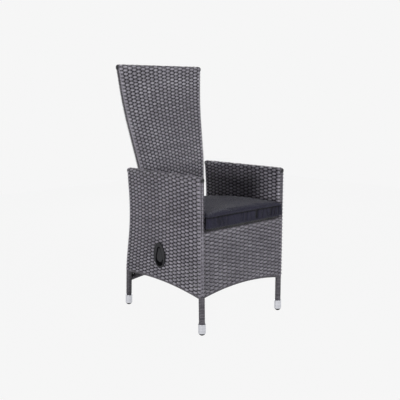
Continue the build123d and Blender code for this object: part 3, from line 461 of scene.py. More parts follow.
world = bpy.data.worlds.new("studio")
bpy.context.scene.world = world
world.use_nodes = True
ground = world.node_tree.nodes["Background"]
ground.inputs["Color"].default_value = linear("#FFFFFF")
ground.inputs["Strength"].default_value = 0.09
backdrop = add(world, "Background", {"Color": linear(PAPER), "Strength": 1.0})
mix_world = add(world, "MixShader", {0: backdrop_rays(world), 1: ground.outputs[0], 2: backdrop.outputs[0]})
link(world, mix_world.outputs[0], world.node_tree.nodes["World Output"].inputs["Surface"])
print("stage:", floor.name, "under the world", world.name)


# %% Lamps
def lamp(name, place, target, size, power):
    """A square area lamp that faces a point."""
    bpy.ops.object.light_add(type="AREA", location=place)
    made = bpy.context.object
    made.name = name
    made.data.size = size
    made.data.energy = power
    made.rotation_euler = (Vector(target) - Vector(place)).to_track_quat("-Z", "Y").to_euler()


lamp("side_light", (-2.5, -0.85, 0.82), (0, 0, 0.8), 0.5, 30.0)
lamp("front_light", (0.25, -2.7, 1.60), (0, 0, 0.85), 0.6, 34.0)
lamp("top_light", (0.6, -0.6, 3.2), (0, 0, 0.5), 1.6, 4.0)
lamp("back_light", (2.0, 2.6, 1.40), (0, 0, 0.6), 0.8, 34.0)

# %% [markdown]
# ## One strand
# Weaving repeats one thing: a flat-oval strand that rises over one stake and dips under the next. It
# is modelled once by extruding an eight-sided ring along X and lifting each ring to the wave. Array
# modifiers then repeat it, and their merge welds each copy to the next, so a row is one strand.

# %% The strand's wave
STAKE_PITCH = 0.0247
ROW_PITCH = 0.0078
STRAND_WIDE, STRAND_THICK = 0.0095, 0.0015
STAKE_WIDE, STAKE_THICK = 0.0100, 0.0040
WEFT_SWING = 0.0031
PINCH = 0.9
FIRST_STAKE, STAKE_CREST = 500.5, 0.2


def start_ring(name, sides, radius):
    """A ring in the YZ plane, in edit mode and all selected, ready to be extruded along X."""
    deselect()
    bpy.ops.mesh.primitive_circle_add(vertices=sides, radius=radius, rotation=(0, math.pi / 2, 0))
    piece = bpy.context.object
    piece.name = name
    bpy.ops.object.transform_apply(location=False, rotation=True, scale=False)
    set_mode("EDIT")
    bpy.ops.mesh.select_mode(type="VERT")
    bpy.ops.mesh.select_all(action="SELECT")
    return piece


def straight_strand(name, steps, wide, thick, sides=8):
    """An oval strand along +X, one ring per (advance, rise, widening) step, extruded from its ring."""
    piece = start_ring(name, sides, 0.5)
    bpy.ops.transform.resize(value=(1, wide, thick))
    for advance, rise, widening in steps:
        bpy.ops.mesh.extrude_region_move(TRANSFORM_OT_translate={"value": (advance, 0, rise)})
        bpy.ops.transform.resize(value=(1, widening, 1))
    set_mode("OBJECT")
    return piece


def wave_steps(length, swing, pinch=1.0, count=12):
    """Steps of one whole wave, rising first, with full crests. The strand is pinched as it dives."""
    turns = np.linspace(0, 2 * math.pi, count + 1)
    lifts = swing * np.sign(np.sin(turns)) * np.abs(np.sin(turns)) ** 0.8
    wides = 1 - (1 - pinch) * np.clip(-np.cos(turns), 0, 1)
    return [(length / count, d - c, f / e) for c, d, e, f in zip(lifts, lifts[1:], wides, wides[1:])]


def repeat(piece, count, offset, merge=True):
    """Repeat a piece with an Array modifier, welded where the copies meet."""
    apply_modifier(
        piece, "ARRAY", count=count, use_relative_offset=False, use_constant_offset=True,
        constant_offset_displace=offset, use_merge_vertices=merge, merge_threshold=1e-5,
    )


def name_strands(piece, along, number, crest):
    """Write the strand UV map: metres along the strand, and its number plus the share across it.

    The crest attribute says how far each point stands proud: 1 on a crest and below 0 in a dip. The strand
    material paints shade into the dips by it.
    """
    proud = piece.data.attributes.new("crest", "FLOAT", "POINT")
    proud.data.foreach_set("value", np.broadcast_to(crest, len(piece.data.vertices)).astype(np.float32))
    layer = piece.data.uv_layers.new(name="strand")
    corner = np.empty(len(piece.data.loops), dtype=np.int32)
    piece.data.loops.foreach_get("vertex_index", corner)
    places = np.column_stack([along[corner], number[corner]])
    layer.data.foreach_set("uv", places.astype(np.float32).ravel())


def flat_weave(name, columns, rows, first_number=0, dip_shade=1.0):
    """A flat over-and-under weave in the XY plane, with its height in Z and its strand UV map.

    This argument scales the painted shade: how much darker its dips are painted than its crests.
    """
    weft = straight_strand("weft", wave_steps(2 * STAKE_PITCH, WEFT_SWING, PINCH), STRAND_WIDE, STRAND_THICK)
    repeat(weft, columns // 2 + 2, (2 * STAKE_PITCH, 0, 0))
    repeat(weft, 2, (-STAKE_PITCH, ROW_PITCH, 0), merge=False)
    repeat(weft, (rows + 1) // 2, (0, 2 * ROW_PITCH, 0), merge=False)
    flat = points_of(weft)
    outside = (flat[:, 0] < -1e-5) | (flat[:, 0] > columns * STAKE_PITCH + 1e-5)
    delete_marked(weft, outside | (flat[:, 1] > (rows - 0.5) * ROW_PITCH))
    flat = points_of(weft)
    number = first_number + flat[:, 1] / ROW_PITCH + 0.5
    crest = np.clip(flat[:, 2] / WEFT_SWING, -1, 1)
    # The crest attribute paints shade into the weft's dips through the strand material.
    name_strands(weft, flat[:, 0], number, 0.5 + dip_shade * (crest - 0.5))
    stake = straight_strand("stake", [(ROW_PITCH, 0, 1)], STAKE_WIDE, STAKE_THICK, sides=6)
    flat = points_of(stake)
    set_points(stake, np.column_stack([STAKE_PITCH / 2 - flat[:, 1], flat[:, 0] - ROW_PITCH, flat[:, 2]]))
    repeat(stake, rows + 1, (0, ROW_PITCH, 0))
    repeat(stake, columns, (STAKE_PITCH, 0, 0), merge=False)
    flat = points_of(stake)
    number = first_number + FIRST_STAKE + flat[:, 0] / STAKE_PITCH
    # Painted shade: the stakes get one low crest value, so the strand material paints them mostly in shade
    # where they lie between the rows.
    name_strands(stake, flat[:, 1], number, STAKE_CREST)
    return join([weft, stake], name)


# %% [markdown]
# ## Laying the weave on the chair
# A flat weave is bent onto its panel in code. The place across the panel is a share from 0 to 1, so
# the stakes fan out or lean with the tubes at its two edges, as a weaver keeps them evenly spread.
# Past a tube's centre the sheet turns round the tube, at the sides and over the top, where a weaver
# pulls each strand tight. So its relief is lower there, and its last millimetres tuck under.

# %% Panels
RELIEF_ON_TUBE = 0.35
EASE = 0.016  # the stretch beside a tube over which the relief eases
ENDING = 0.005  # the sheet's last stretch round a tube, which tucks under
TUCK, SINK = 0.0018, 0.0015
UP = np.array([0.0, 0.0, 1.0])


def unit(rows):
    """Each row scaled to length 1."""
    return rows / np.linalg.norm(rows, axis=1)[:, None]


def smooth(share):
    share = np.clip(share, 0, 1)
    return share * share * (3 - 2 * share)


def lay(piece, columns, place, low, high, tube, reach=0.026, roll=True):
    """Bend a flat weave onto a panel between tubes of this wound radius.

    place(share, up) gives points between the tubes' centres, their outward normals, the panel's
    width and the sheet's distance from the centres. low and high give the height of the lower edge
    and of the top tube's centre. reach is the share of the width that turns round each side tube.
    """
    flat = points_of(piece)
    share = flat[:, 0] / (columns * STAKE_PITCH) * (1 + 2 * reach) - reach
    spot, normal, width, plain = place(np.clip(share, 0, 1), flat[:, 1])
    floor_z, roof_z = low(spot), high(spot)
    limit = tube * math.pi / 2 if roll else 0.0
    rise = np.clip(spot[:, 2] - roof_z, 0, limit)
    past = (spot[:, 2] < floor_z) | (spot[:, 2] > roof_z + limit)
    from_top = roof_z - spot[:, 2] if roll else np.full(len(flat), 1.0)
    spot, normal, width, plain = place(
        np.clip(share, 0, 1), flat[:, 1] + np.clip(spot[:, 2], floor_z, roof_z) - spot[:, 2]
    )
    within = np.minimum(share, 1 - share) * width
    over = np.clip(-within, 0, None)
    near = smooth(1 - np.minimum(within, from_top) / EASE)
    ending = smooth(np.where(over > 0, (reach * width - over) / ENDING, 1.0))
    across = np.cross(normal, UP)
    across *= np.sign((share - 0.5) * across[:, 0] + 1e-9 * across[:, 1])[:, None]
    if abs(across[0, 1]) > 0.5:
        nothing = np.zeros(len(flat))
        across = np.column_stack([nothing, np.where(share > 0.5, 1.0, -1.0), nothing])
    theta, phi = (over / tube)[:, None], (rise / tube)[:, None]
    out = (normal * np.cos(theta) + across * np.sin(theta)) * np.cos(phi) + UP * np.sin(phi)
    radius = plain + (tube - plain) * near
    height = flat[:, 2] * (1 - (1 - RELIEF_ON_TUBE) * near) - TUCK * (1 - ending)
    set_points(piece, spot + out * (radius + np.where(past, height - SINK, height))[:, None])
    outside = np.array([all(past[v] for v in face.vertices) for face in piece.data.polygons])
    delete_marked(piece, outside, "FACE")


def finish_piece(piece, body, material, replaced):
    """Smooth shading, material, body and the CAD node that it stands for."""
    activate(piece)
    bpy.ops.object.shade_smooth()
    piece.data.materials.clear()
    piece.data.materials.append(material)
    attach(piece, body)
    if replaced:
        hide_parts(*replaced)


COLUMNS = 20
PLAIN = 0.009
SAG, SAG_START = 0.074, 0.35
HOLE_Z, HOLE_WIDE, HOLE_TALL = 0.291, 0.0355, 0.053
# Each flat sheet starts a little below the edge that it is cut to.
OUTER_START, INNER_START, REAR_START = 0.140, 0.396, 0.100


def level(height):
    """An edge that runs level, at one height."""
    return lambda points: np.full(len(points), height)


def side_place(side, facing, bottom):
    """Points of a side panel's sheet. facing is 1 for the outer sheet and -1 for the inner one."""
    def place(share, up):
        # The rows sag towards the rear leg, as they do where they were woven by hand round its bend.
        z = bottom + up - SAG * np.clip(share - SAG_START, 0, 1) ** 2
        width = leg_y(z) - FRONT_Y
        normal = np.zeros((len(share), 3))
        normal[:, 0] = side * facing
        spot = np.column_stack([np.full(len(share), side * LEG_X), FRONT_Y + share * width, z])
        return spot, normal, width, PLAIN
    return place


def seat_z(y):
    """Height of the sloping seat rails' centres."""
    return RAIL_Z - 0.015 * (y - FRONT_Y) / 0.407


def rows_for(height):
    """How many rows a sheet of this height holds."""
    return int(height / ROW_PITCH)


for name, side in SIDES:
    outer = flat_weave(name + "_outer_strands", COLUMNS, rows_for(0.56))
    lay(outer, COLUMNS, side_place(side, 1, OUTER_START), lambda p: side_arch(p[:, 1]), level(ARM_Z), LEG_R)
    inner = flat_weave(name + "_inner_strands", COLUMNS, rows_for(0.30), 700)
    lay(inner, COLUMNS, side_place(side, -1, INNER_START), lambda p: seat_z(p[:, 1]) - 0.004,
        level(ARM_Z), LEG_R)
    if side < 0:
        # The handle's housing sits in an oval opening in the right panel.
        spot = points_of(outer)
        delete_marked(outer, (spot[:, 1] / HOLE_WIDE) ** 2 + ((spot[:, 2] - HOLE_Z) / HOLE_TALL) ** 2 < 1)
    for sheet in (outer, inner):
        finish_piece(sheet, "seat_frame", woven_grey, [name + "_side_weave"])
        print(sheet.name, "faces:", len(sheet.data.polygons))

# %% Front, rear and seat panels
CLIMB = 0.04  # how much the rows across the chair rise to one side
SEAT_HALF, SEAT_TOP = 0.2135, 0.0115


def front_place(share, up):
    x = (2 * share - 1) * LEG_X
    normal = np.tile([0.0, -1.0, 0.0], (len(share), 1))
    spot = np.column_stack([x, np.full(len(share), FRONT_Y), OUTER_START + up + CLIMB * x])
    return spot, normal, 2 * LEG_X, PLAIN


def rear_place(share, up):
    x = (2 * share - 1) * LEG_X
    z = REAR_START + up + CLIMB * x
    slope = (leg_y(z + 0.005) - leg_y(z - 0.005)) / 0.01
    normal = unit(np.column_stack([np.zeros(len(share)), np.ones(len(share)), -slope]))
    return np.column_stack([x, leg_y(z), z]), normal, 2 * LEG_X, PLAIN


def seat_place(share, up):
    y = FRONT_Y + 0.008 + up
    normal = np.tile([0.0, 0.0368, 0.9993], (len(share), 1))
    spot = np.column_stack([(2 * share - 1) * SEAT_HALF, y, seat_z(y)])
    return spot, normal, 2 * SEAT_HALF, SEAT_TOP


front = flat_weave("front_strands", COLUMNS, rows_for(0.32), dip_shade=0.45)
lay(front, COLUMNS, front_place, lambda p: cross_arch(p[:, 0], *FRONT_ARCH), level(RAIL_Z - 0.003), LEG_R)
finish_piece(front, "seat_frame", woven_grey, ["front_weave"])

rear = flat_weave("rear_strands", COLUMNS, rows_for(0.36))
lay(rear, COLUMNS, rear_place, lambda p: cross_arch(p[:, 0], *REAR_ARCH), level(RAIL_Z), LEG_R)
finish_piece(rear, "seat_frame", woven_grey, ["rear_weave"])

deck = flat_weave("seat_strands", COLUMNS, rows_for(0.400))
lay(deck, COLUMNS, seat_place, level(0.0), level(1.0), SEAT_TOP, reach=0.0, roll=False)
finish_piece(deck, "seat_frame", woven_grey, ["seat_deck"])
print("front, rear and seat faces:", [len(p.data.polygons) for p in (front, rear, deck)])

# %% Backrest panels
BACK_PLAIN = 0.0086


def back_place(face):
    """Points of the backrest's front (face -1) or rear (face 1) sheet, whose rows climb a little."""
    def place(share, up):
        z = PIVOT_Z - 0.014 + up
        z = z + 0.07 * (2 * share - 1) * back_half(z)
        half = back_half(z)
        slope = (back_y(z + 0.005) - back_y(z - 0.005)) / 0.01
        normal = unit(np.column_stack([np.zeros(len(share)), np.full(len(share), face), -face * slope]))
        spot = np.column_stack([(2 * share - 1) * half, back_y(z), z])
        return spot, normal, 2 * half, BACK_PLAIN
    return place


for name, face in (("back_front_strands", -1), ("back_rear_strands", 1)):
    sheet = flat_weave(name, COLUMNS, rows_for(0.702))
    lay(sheet, COLUMNS, back_place(face), level(PIVOT_Z), level(TOP_Z), BACK_R, reach=0.030)
    finish_piece(sheet, "backrest", woven_grey, ["back_weave"])
    print(sheet.name, "faces:", len(sheet.data.polygons))


# %% [markdown]
# ## Wound tubes
# Where the weave ends, each strand turns round the tube, turn against turn. One turn is a ring that
# is extruded from the groove up to the crest and down again. An Array modifier repeats it to the
# tube's length, and code then bends the straight coil along the tube. Each ring leans a little, as a
# coil does, and a rounded end closes it where the tube ends in the open.

# %% One turn, and the coil along a route
CAP_LENGTH = 0.008


def straight_coil(name, turns, pitch, radius, groove):
    """Turns of wound strand round the X axis."""
    piece = start_ring(name, 14, radius - groove)
    now, at = radius - groove, 0.0
    for share, lift in ((0.14, 0.62), (0.5, 1.0), (0.86, 0.62), (1.0, 0.0)):
        new = radius - groove + groove * lift
        bpy.ops.mesh.extrude_region_move(TRANSFORM_OT_translate={"value": (share * pitch - at, 0, 0)})
        bpy.ops.transform.resize(value=(1, new / now, new / now), center_override=(share * pitch, 0, 0))
        now, at = new, share * pitch
    set_mode("OBJECT")
    repeat(piece, turns, (pitch, 0, 0))
    return piece


def stations_of(route):
    """How far along a route each of its points lies."""
    return np.concatenate([[0], np.cumsum(np.linalg.norm(np.diff(route, axis=0), axis=1))])


def walk(route, reach):
    """Points at distances along a route."""
    return np.column_stack([np.interp(reach, stations_of(route), values) for values in route.T])


def route_frame(route, reach, side):
    """Points, side and up directions on a route at distances along it."""
    route = np.array(route, float)
    tangent = unit(walk(route, reach + 1e-3) - walk(route, reach - 1e-3))
    up = unit(np.cross(tangent, np.array(side, float)))
    return walk(route, reach), np.cross(up, tangent), up


def length_of(route):
    return float(np.linalg.norm(np.diff(np.array(route, float), axis=0), axis=1).sum())


def coil(name, route, radius, pitch, side, lean=0.25, groove=0.0011, caps=(False, False), first=0):
    """Strand wound along a route. side is a direction square to it, and lean the tilt of each turn."""
    length = length_of(route)
    turns = max(2, round(length / pitch))
    pitch = length / turns
    piece = straight_coil(name, turns, pitch, radius, groove)
    flat = points_of(piece)
    angle = np.arctan2(flat[:, 2], flat[:, 1])
    out = np.hypot(flat[:, 1], flat[:, 2])
    # Painted shade: the crest value drops below 0 in the grooves, so the material paints the grooves between
    # turns dark.
    crest = 1.5 * (out - radius + groove) / groove - 0.5
    name_strands(piece, angle * radius, first + flat[:, 0] / pitch, crest)
    wrap_uv(piece, radius)
    inset = np.full(len(flat), 1.0)
    for capped, gap in zip(caps, (flat[:, 0], length - flat[:, 0])):
        if capped:
            near = np.clip(gap / CAP_LENGTH, 0, 1)
            inset = inset * (0.55 + 0.45 * np.sqrt(1 - (1 - near) ** 2))
    edge = np.minimum(flat[:, 0], length - flat[:, 0])
    reach = flat[:, 0] + lean * pitch * np.sin(angle) * np.clip(edge / pitch, 0, 1)
    where, across, up = route_frame(route, reach, side)
    radial = np.cos(angle)[:, None] * across + np.sin(angle)[:, None] * up
    set_points(piece, where + radial * (out * inset)[:, None])
    if any(caps):
        edit_all(piece, bpy.ops.mesh.fill_holes, sides=0)
    return piece


def wrap_uv(piece, radius):
    """Close the strand UV map where a turn passes the half-circle mark."""
    layer = piece.data.uv_layers["strand"]
    flat = np.empty(len(layer.data) * 2, dtype=np.float32)
    layer.data.foreach_get("uv", flat)
    quads = flat.reshape(-1, 4, 2)
    wide = (quads[:, :, 0].max(1) - quads[:, :, 0].min(1)) > math.pi * radius
    along = quads[wide, :, 0]
    quads[wide, :, 0] = np.where(along < 0, along + 2 * math.pi * radius, along)
    layer.data.foreach_set("uv", quads.ravel())


def edge_strand(name, route, radius, angle, side, wide=0.0055, swing=0.0016, first=900):
    """A flat strand that lies along a wound tube at an angle round it, over and under the turns."""
    length = length_of(route)
    waves = max(2, round(length / (2 * ROW_PITCH)))
    step = length / waves
    piece = straight_strand(name, wave_steps(step, swing, count=4), wide, 0.0013)
    repeat(piece, waves, (step, 0, 0))
    flat = points_of(piece)
    # Painted shade: the crest value falls where the edge strand dips, and the material darkens it there.
    name_strands(piece, flat[:, 0], first + flat[:, 1] / wide * 0.9 + 0.5, 0.7 + 0.3 * flat[:, 2] / swing)
    where, across, up = route_frame(route, flat[:, 0], side)
    turn = angle + flat[:, 1] / radius
    radial = np.cos(turn)[:, None] * across + np.sin(turn)[:, None] * up
    set_points(piece, where + radial * (radius + flat[:, 2])[:, None])
    return piece


# %% [markdown]
# Each leg is wound finely below its arch, where the coil shows all round, and more openly above it,
# where the sheets turn over the coil. Two paler upright strands lie over each front corner. The
# arms' coils lie under both sheets of a side panel, which meet over them, and the coils of the
# arched rails close the lower edges.

# %% Wound side frames
BACKWARDS, SIDEWAYS = (0, 1, 0), (1, 0, 0)
UNDER_R = 0.0124
FINE_PITCH, OPEN_PITCH = 0.0068, 0.0086
ARCH_X = 0.231
LEG_START, FRONT_JOIN, REAR_JOIN, CORNER_START = 0.044, 0.164, 0.170, 0.170
for name, side in SIDES:
    x = side * LEG_X
    leg_points = np.array([(x, leg_y(z), z) for z in np.linspace(LEG_START, ARM_Z, 80)])
    split = int(np.searchsorted(leg_points[:, 2], REAR_JOIN))
    coils = [
        coil("front_low", [(x, FRONT_Y, LEG_START), (x, FRONT_Y, FRONT_JOIN)], LEG_R, FINE_PITCH, BACKWARDS),
        coil("front_high", [(x, FRONT_Y, FRONT_JOIN), (x, FRONT_Y, ARM_Z)], UNDER_R, ROW_PITCH, BACKWARDS,
             first=40),
        coil("rear_low", leg_points[:split + 1], LEG_R, FINE_PITCH, SIDEWAYS, first=120),
        coil("rear_high", leg_points[split:], UNDER_R, ROW_PITCH, SIDEWAYS, first=160),
        coil("arm", [(x, FRONT_Y - ARM_R, ARM_Z), (x, float(leg_y(ARM_Z)) + ARM_R, ARM_Z)], UNDER_R,
             OPEN_PITCH, SIDEWAYS, lean=0.3, caps=(True, True), first=240),
        coil("arch", arc((side * ARCH_X, FRONT_Y, SIDE_ARCH[0]), (side * ARCH_X, -0.004, SIDE_ARCH[1]),
                         (side * ARCH_X, leg_y(SIDE_ARCH[2]), SIDE_ARCH[2])),
             ARCH_R, ROW_PITCH, SIDEWAYS, lean=0.5, first=320),
    ]
    sleeve = join(coils, name + "_side_wound")
    finish_piece(sleeve, "seat_frame", wound_shaded_grey, [name + "_side_weave"])
    forward = math.radians(-90)
    ups = [
        edge_strand("corner", [(x, FRONT_Y, CORNER_START), (x, FRONT_Y, ARM_Z - 0.004)], LEG_R + 0.0006,
                    forward - side * math.radians(turn), SIDEWAYS, first=number)
        for turn, number in ((-12, 900), (-49, 910))
    ]
    rails = join(ups, name + "_corner_stakes")
    finish_piece(rails, "seat_frame", pale_grey, [])
    print(sleeve.name, "faces:", len(sleeve.data.polygons), rails.name, len(rails.data.polygons))

# %% Wound cross rails
def wound_cross(name, rail, arch, rail_y, arch_y, heights):
    """A straight rail and the arched rail below it, both wound from side to side."""
    end, middle = heights
    route = arc((-LEG_X, arch_y, end), (0, arch_y, middle), (LEG_X, arch_y, end))
    return join([
        coil(rail, [(-LEG_X, rail_y, RAIL_Z), (LEG_X, rail_y, RAIL_Z)], UNDER_R, OPEN_PITCH, UP, lean=0.7),
        coil(arch, route, ARCH_R, ROW_PITCH, UP, lean=0.5, first=60),
    ], name)


front_wound = wound_cross("front_wound", "front_rail", "front_arch", FRONT_Y, FRONT_Y - 0.003, FRONT_ARCH)
finish_piece(front_wound, "seat_frame", wound_shaded_grey, ["front_weave"])

panel_y, rear_arch_y = float(leg_y(RAIL_Z)), float(leg_y(REAR_ARCH[1])) + 0.003
rear_wound = wound_cross("rear_wound", "panel_rail", "rear_arch", panel_y, rear_arch_y, REAR_ARCH)
finish_piece(rear_wound, "seat_frame", wound_shaded_grey, ["rear_weave"])

seat_rail = [(-0.184, 0.147, 0.405), (0.184, 0.147, 0.405)]
seat_wound = coil("seat_wound", seat_rail, LEG_R, OPEN_PITCH, UP, lean=0.4)
finish_piece(seat_wound, "seat_frame", wound_shaded_grey, ["seat_deck"])
print("cross rails:", front_wound.name, rear_wound.name, seat_wound.name)

# %% [markdown]
# The backrest's own tubes are wound in the same way. Its bottom rail is bare for a hand's breadth in
# the middle, where the gas spring's horn is welded on. A paler flat strand runs up beside each
# upright, on both faces, and covers the place where the rows turn round the tube.

# %% Wound backrest
TOP_HALF = 0.2363
FOOT_IN, FOOT_OUT = 0.0155, 0.1641
back_points = np.array([(back_half(z), back_y(z), z) for z in np.linspace(PIVOT_Z, TOP_Z, 90)])
parts = []
stakes = []
for side in (-1, 1):
    route = back_points * np.array([side, 1, 1])
    parts.append(coil("upright", route, BACK_R, ROW_PITCH, SIDEWAYS, lean=0.3, first=100 * (2 + side)))
    for turn in (-48, 48):
        angle = math.radians(turn if side > 0 else 180 - turn)
        stakes.append(edge_strand("upright_edge", route[2:-1], BACK_R + 0.0014, angle, SIDEWAYS,
                                  swing=0.0006))
parts.append(coil("top", [(-TOP_HALF, 0.2796, TOP_Z), (TOP_HALF, 0.2796, TOP_Z)], TOP_R, OPEN_PITCH, UP,
                  lean=0.5, caps=(True, True), first=400))
for side in (-1, 1):
    route = [(side * FOOT_IN, PIVOT_Y, PIVOT_Z), (side * FOOT_OUT, PIVOT_Y, PIVOT_Z)]
    parts.append(coil("foot", route, FOOT_R, OPEN_PITCH, UP, lean=0.5 * side, caps=(False, True), first=460))
back_wound = join(parts, "back_wound")
finish_piece(back_wound, "backrest", wound_shaded_grey, ["back_weave"])
back_stakes = join(stakes, "back_edge_stakes")
finish_piece(back_stakes, "backrest", pale_grey, [])
print(back_wound.name, "faces:", len(back_wound.data.polygons))

# %% [markdown]
# ## Seat cushion
# A box cushion is foam in a sewn cover: top and bottom panels joined to an upright band, the boxing,
# with a piped seam at each edge. It is made by simulation, as the cover really takes its shape: the
# CAD solid's copy starts a little small, the cloth is blown out by the foam's pressure, and each
# point may move only a few millimetres. The seams and the boxing's gathers are added after that.

# %% Cushion body
CUSHION_FRONT, CUSHION_BACK, CUSHION_HALF = -0.293, 0.160, 0.2138
LARGEST_MOVE = 0.006
FRAMES = 20
low_corner, high_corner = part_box("seat_cushion")


def cushion_copy():
    """A merged copy of the CAD cushion."""
    piece = nodes["seat_cushion"].copy()
    piece.data = piece.data.copy()
    piece.name = "cushion_cover"
    piece.parent = None
    for key in list(piece.keys()):
        if key.startswith("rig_"):
            del piece[key]
    bpy.context.scene.collection.objects.link(piece)
    edit_all(piece, bpy.ops.mesh.remove_doubles, threshold=1e-5)
    return piece


cover = cushion_copy()
solid = points_of(cover)
middle = (solid.min(0) + solid.max(0)) / 2
set_points(cover, middle + (solid - middle) * np.array([0.978, 0.978, 0.94]))
apply_modifier(cover, "REMESH", mode="VOXEL", voxel_size=0.005)
before = points_of(cover)
cloth = cover.modifiers.new("cloth", "CLOTH")
cloth.settings.quality = 6
cloth.settings.use_pressure = True
cloth.settings.uniform_pressure_force = 4.0
cloth.settings.tension_stiffness = 12.0
cloth.settings.compression_stiffness = 12.0
cloth.settings.effector_weights.gravity = 0.0
bpy.context.scene.frame_start = 1
bpy.context.scene.frame_end = FRAMES
for number in range(1, FRAMES + 1):
    bpy.context.scene.frame_set(number)
activate(cover)
bpy.ops.object.modifier_apply(modifier="cloth")
bpy.context.scene.frame_set(1)
moved = points_of(cover) - before
far = np.linalg.norm(moved, axis=1)
capped = before + moved * np.minimum(1, LARGEST_MOVE / np.maximum(far, 1e-9))[:, None]
lowest = np.array(low_corner) + [0.0006, 0.0, 0.0004]
highest = np.array(high_corner) - [0.0006, 0.0, -0.001]
capped = np.clip(capped, lowest, highest)
print("cushion points:", len(capped), "largest move before the cap:", round(float(far.max()) / MM, 1), "mm")

# %% [markdown]
# The foam fills the cover to its corners in front, where the cushion stands past the arms, and lifts the top
# into a low crown. Its lower front edge is rounded, and shade is painted along it too, so a dark gap shows
# over the rail.

# %% Cushion shape
SEAT_SLOPE = 0.0368
LOW_SEAM, HIGH_SEAM = 0.010, 0.060
BASE_LIFT = 0.0165
CORNER_SPAN = 0.024
CROWN_Y, CROWN_REACH = -0.066, 0.23
TOP_LIFT, CROWN_LIFT, FRONT_LIFT = 0.007, 0.006, 0.009


def above_base(points):
    """Height above the cushion's sloping underside."""
    return points[:, 2] - (low_corner.z + BASE_LIFT - SEAT_SLOPE * (points[:, 1] - CUSHION_FRONT))


centre_y = (CUSHION_FRONT + CUSHION_BACK) / 2
capped[:, 0] *= CUSHION_HALF / np.abs(capped[:, 0]).max()
front_reach = capped[:, 1].min() - centre_y
capped[:, 1] = centre_y + (capped[:, 1] - centre_y) * (CUSHION_FRONT - centre_y) / front_reach
# The two front corners are pushed out from round to nearly square.
u = np.clip((np.abs(capped[:, 0]) - (CUSHION_HALF - CORNER_SPAN)) / CORNER_SPAN, 0, None)
v = np.clip((CUSHION_FRONT + CORNER_SPAN - capped[:, 1]) / CORNER_SPAN, 0, None)
square = (np.hypot(u, v) / np.maximum(np.maximum(u, v), 1e-9)) ** 0.85
both = (u > 0) & (v > 0)
capped[both, 0] += np.sign(capped[both, 0]) * (u * (square - 1) * CORNER_SPAN)[both]
capped[both, 1] -= (v * (square - 1) * CORNER_SPAN)[both]
tall = smooth(above_base(capped) / 0.062)
across_crown = np.clip(1 - (capped[:, 0] / CUSHION_HALF) ** 2, 0, 1)
crown = across_crown * np.clip(1 - ((capped[:, 1] - CROWN_Y) / CROWN_REACH) ** 2, 0, 1)
capped[:, 2] += tall * (TOP_LIFT + CROWN_LIFT * np.sqrt(crown))
front_edge = smooth((CUSHION_FRONT + 0.032 - capped[:, 1]) / 0.03)
capped[:, 2] += FRONT_LIFT * front_edge * (1 - smooth(above_base(capped) / 0.03))
set_points(cover, capped)
apply_modifier(cover, "SUBSURF", levels=1, render_levels=1)
print("cover points:", len(cover.data.vertices))

# %% [markdown]
# The boxing is a little longer than the seams it is sewn to, so it gathers into small upright folds.
# The same sewing pulls the cloth in along both seams. An attribute paints shade into the material: the
# hollows of the gathers, the seam grooves and the lowest strip of the front are darkened, as shade falls
# there.

# %% Cushion gathers and seams
GATHERS, GATHER_DEPTH, SEAM_DEPTH = 46, 0.0026, 0.0020
capped = points_of(cover)
rise = above_base(capped)
mesh_normals = np.empty(len(capped) * 3)
cover.data.vertex_normals.foreach_get("vector", mesh_normals)
mesh_normals = mesh_normals.reshape(-1, 3)
band = smooth((rise - LOW_SEAM) / 0.014) * smooth((HIGH_SEAM - rise) / 0.014)
upright = np.clip(1.3 - np.abs(mesh_normals[:, 2]) * 1.8, 0, 1)
run = np.where(np.abs(mesh_normals[:, 1]) > np.abs(mesh_normals[:, 0]), capped[:, 0], capped[:, 1])
random = np.random.default_rng(7)
gather = np.zeros(len(capped))
for place in np.sort(random.uniform(-0.27, 0.25, GATHERS)):
    wide = random.uniform(0.0026, 0.0052)
    lean = random.uniform(-0.35, 0.35)
    depth = random.uniform(0.3, 1.0) * (0.45 if -0.25 < place < 0.0 else 1.0)
    across = (run - place - lean * (rise - 0.035)) / wide
    gather -= depth * np.exp(-across * across)
gather = np.maximum(gather, -1.3) * band * upright
high_groove = np.exp(-((rise - HIGH_SEAM + 0.006) / 0.0032) ** 2)
low_groove = 0.6 * np.exp(-((rise - LOW_SEAM) / 0.003) ** 2)
seam = (high_groove + low_groove) * upright
set_points(cover, capped + mesh_normals * (gather * GATHER_DEPTH - seam * SEAM_DEPTH)[:, None])
# Painted shade: the hollows of the gathers and the seam grooves are darkened.
fold_shade = np.clip(-gather * 0.7 + seam, 0, 1)
# Painted shadow: the lowest centimetre of the cushion's front, under its rounded edge, is painted towards
# black.
fold_shade = np.maximum(fold_shade, smooth((0.012 - rise) / 0.010) * (capped[:, 1] < CUSHION_FRONT + 0.06))
fold_shade_layer = cover.data.attributes.new("fold_shade", "FLOAT", "POINT")
fold_shade_layer.data.foreach_set("value", fold_shade.astype(np.float32))
finish_piece(cover, "cushion", canvas, ["seat_cushion"])
print("cover faces:", len(cover.data.polygons))
print("deepest gather:", round(float(-gather.min()) * GATHER_DEPTH / MM, 1), "mm")


# %% [markdown]
# Piping is a cord sewn into the seam, wrapped in the cover's own cloth. Its path is the seam's outline,
# snapped to the nearest point of the blown-out cover, so that it sits on the cloth all the way round.

# %% Cushion piping
TOP_CORD, LOW_CORD = 0.0025, 0.0018


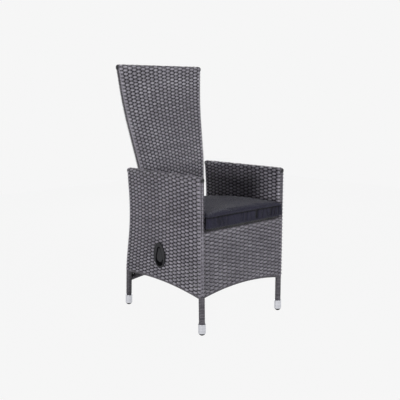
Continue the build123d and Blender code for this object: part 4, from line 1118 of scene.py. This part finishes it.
def seam_path(height):
    """Points round the cushion at a height of its edge, snapped to the cover."""
    length, corner = 0.453, 0.010
    outline = []
    for cx, cy, start in ((1, 1, 0), (-1, 1, 90), (-1, -1, 180), (1, -1, 270)):
        for turn in np.linspace(start, start + 90, 7):
            a = math.radians(turn)
            outline.append((cx * (CUSHION_HALF - corner) + corner * math.cos(a),
                            cy * (length / 2 - corner) + corner * math.sin(a)))
    outline.append(outline[0])
    ring = np.array(outline)
    flat = walk(ring, np.linspace(0, stations_of(ring)[-1], 221)[:-1])
    y = flat[:, 1] + centre_y
    z = low_corner.z + BASE_LIFT + height - SEAT_SLOPE * (y - CUSHION_FRONT)
    tree = BVHTree.FromObject(cover, bpy.context.evaluated_depsgraph_get())
    made = []
    for point in np.column_stack([flat[:, 0], y, z]):
        spot, normal = tree.find_nearest(Vector(point))[:2]
        made.append(spot + normal * 0.0010)
    return made


def piping(name, path, radius):
    """A closed round cord through the points, as a mesh."""
    curve = bpy.data.curves.new(name, "CURVE")
    curve.dimensions = "3D"
    curve.bevel_depth = radius
    curve.bevel_resolution = 2
    spline = curve.splines.new("POLY")
    spline.points.add(len(path) - 1)
    for point, place in zip(spline.points, path):
        point.co = (*place, 1)
    spline.use_cyclic_u = True
    piece = bpy.data.objects.new(name, curve)
    bpy.context.scene.collection.objects.link(piece)
    activate(piece)
    bpy.ops.object.convert(target="MESH")
    return bpy.context.object


seams = join([
    piping("top_seam", seam_path(HIGH_SEAM), TOP_CORD),
    piping("low_seam", seam_path(LOW_SEAM + 0.004), LOW_CORD),
], "cushion_piping")
finish_piece(seams, "cushion", canvas, [])
print("piping faces:", len(seams.data.polygons))

# %% [markdown]
# ## Finishes of the CAD parts
# Tubes, plates, pins, ferrules and the handle already have their true shape, so they keep it and
# only receive their finish.

# %% Finishes by name
finishes = [
    (("_leg", "_arm_rail", "_seat_rail", "_arch_rail", "_panel_rail", "_cross_tube", "_upright", "_top_rail",
      "_bottom_rail", "_brace"), powder),
    (("_hinge_plate", "_horn", "_bracket"), plate),
    (("foot_glides", "rod_guide", "handle_cable_gland"), polyamide),
    (("leg_ferrules",), anodised),
    (("handle_housing", "handle_clamp_ring", "pull_lever"), abs_grain),
    (("hinge_bushes",), acetal),
    (("gas_cylinder",), gloss_paint),
    (("gas_rod",), chrome),
    (("release_head",), cast_zinc),
]
for name, piece in nodes.items():
    found = [m for endings, m in finishes if name.endswith(endings)]
    for place in piece.material_slots:
        place.material = found[0] if found else zinc
print("finished:", len(nodes))
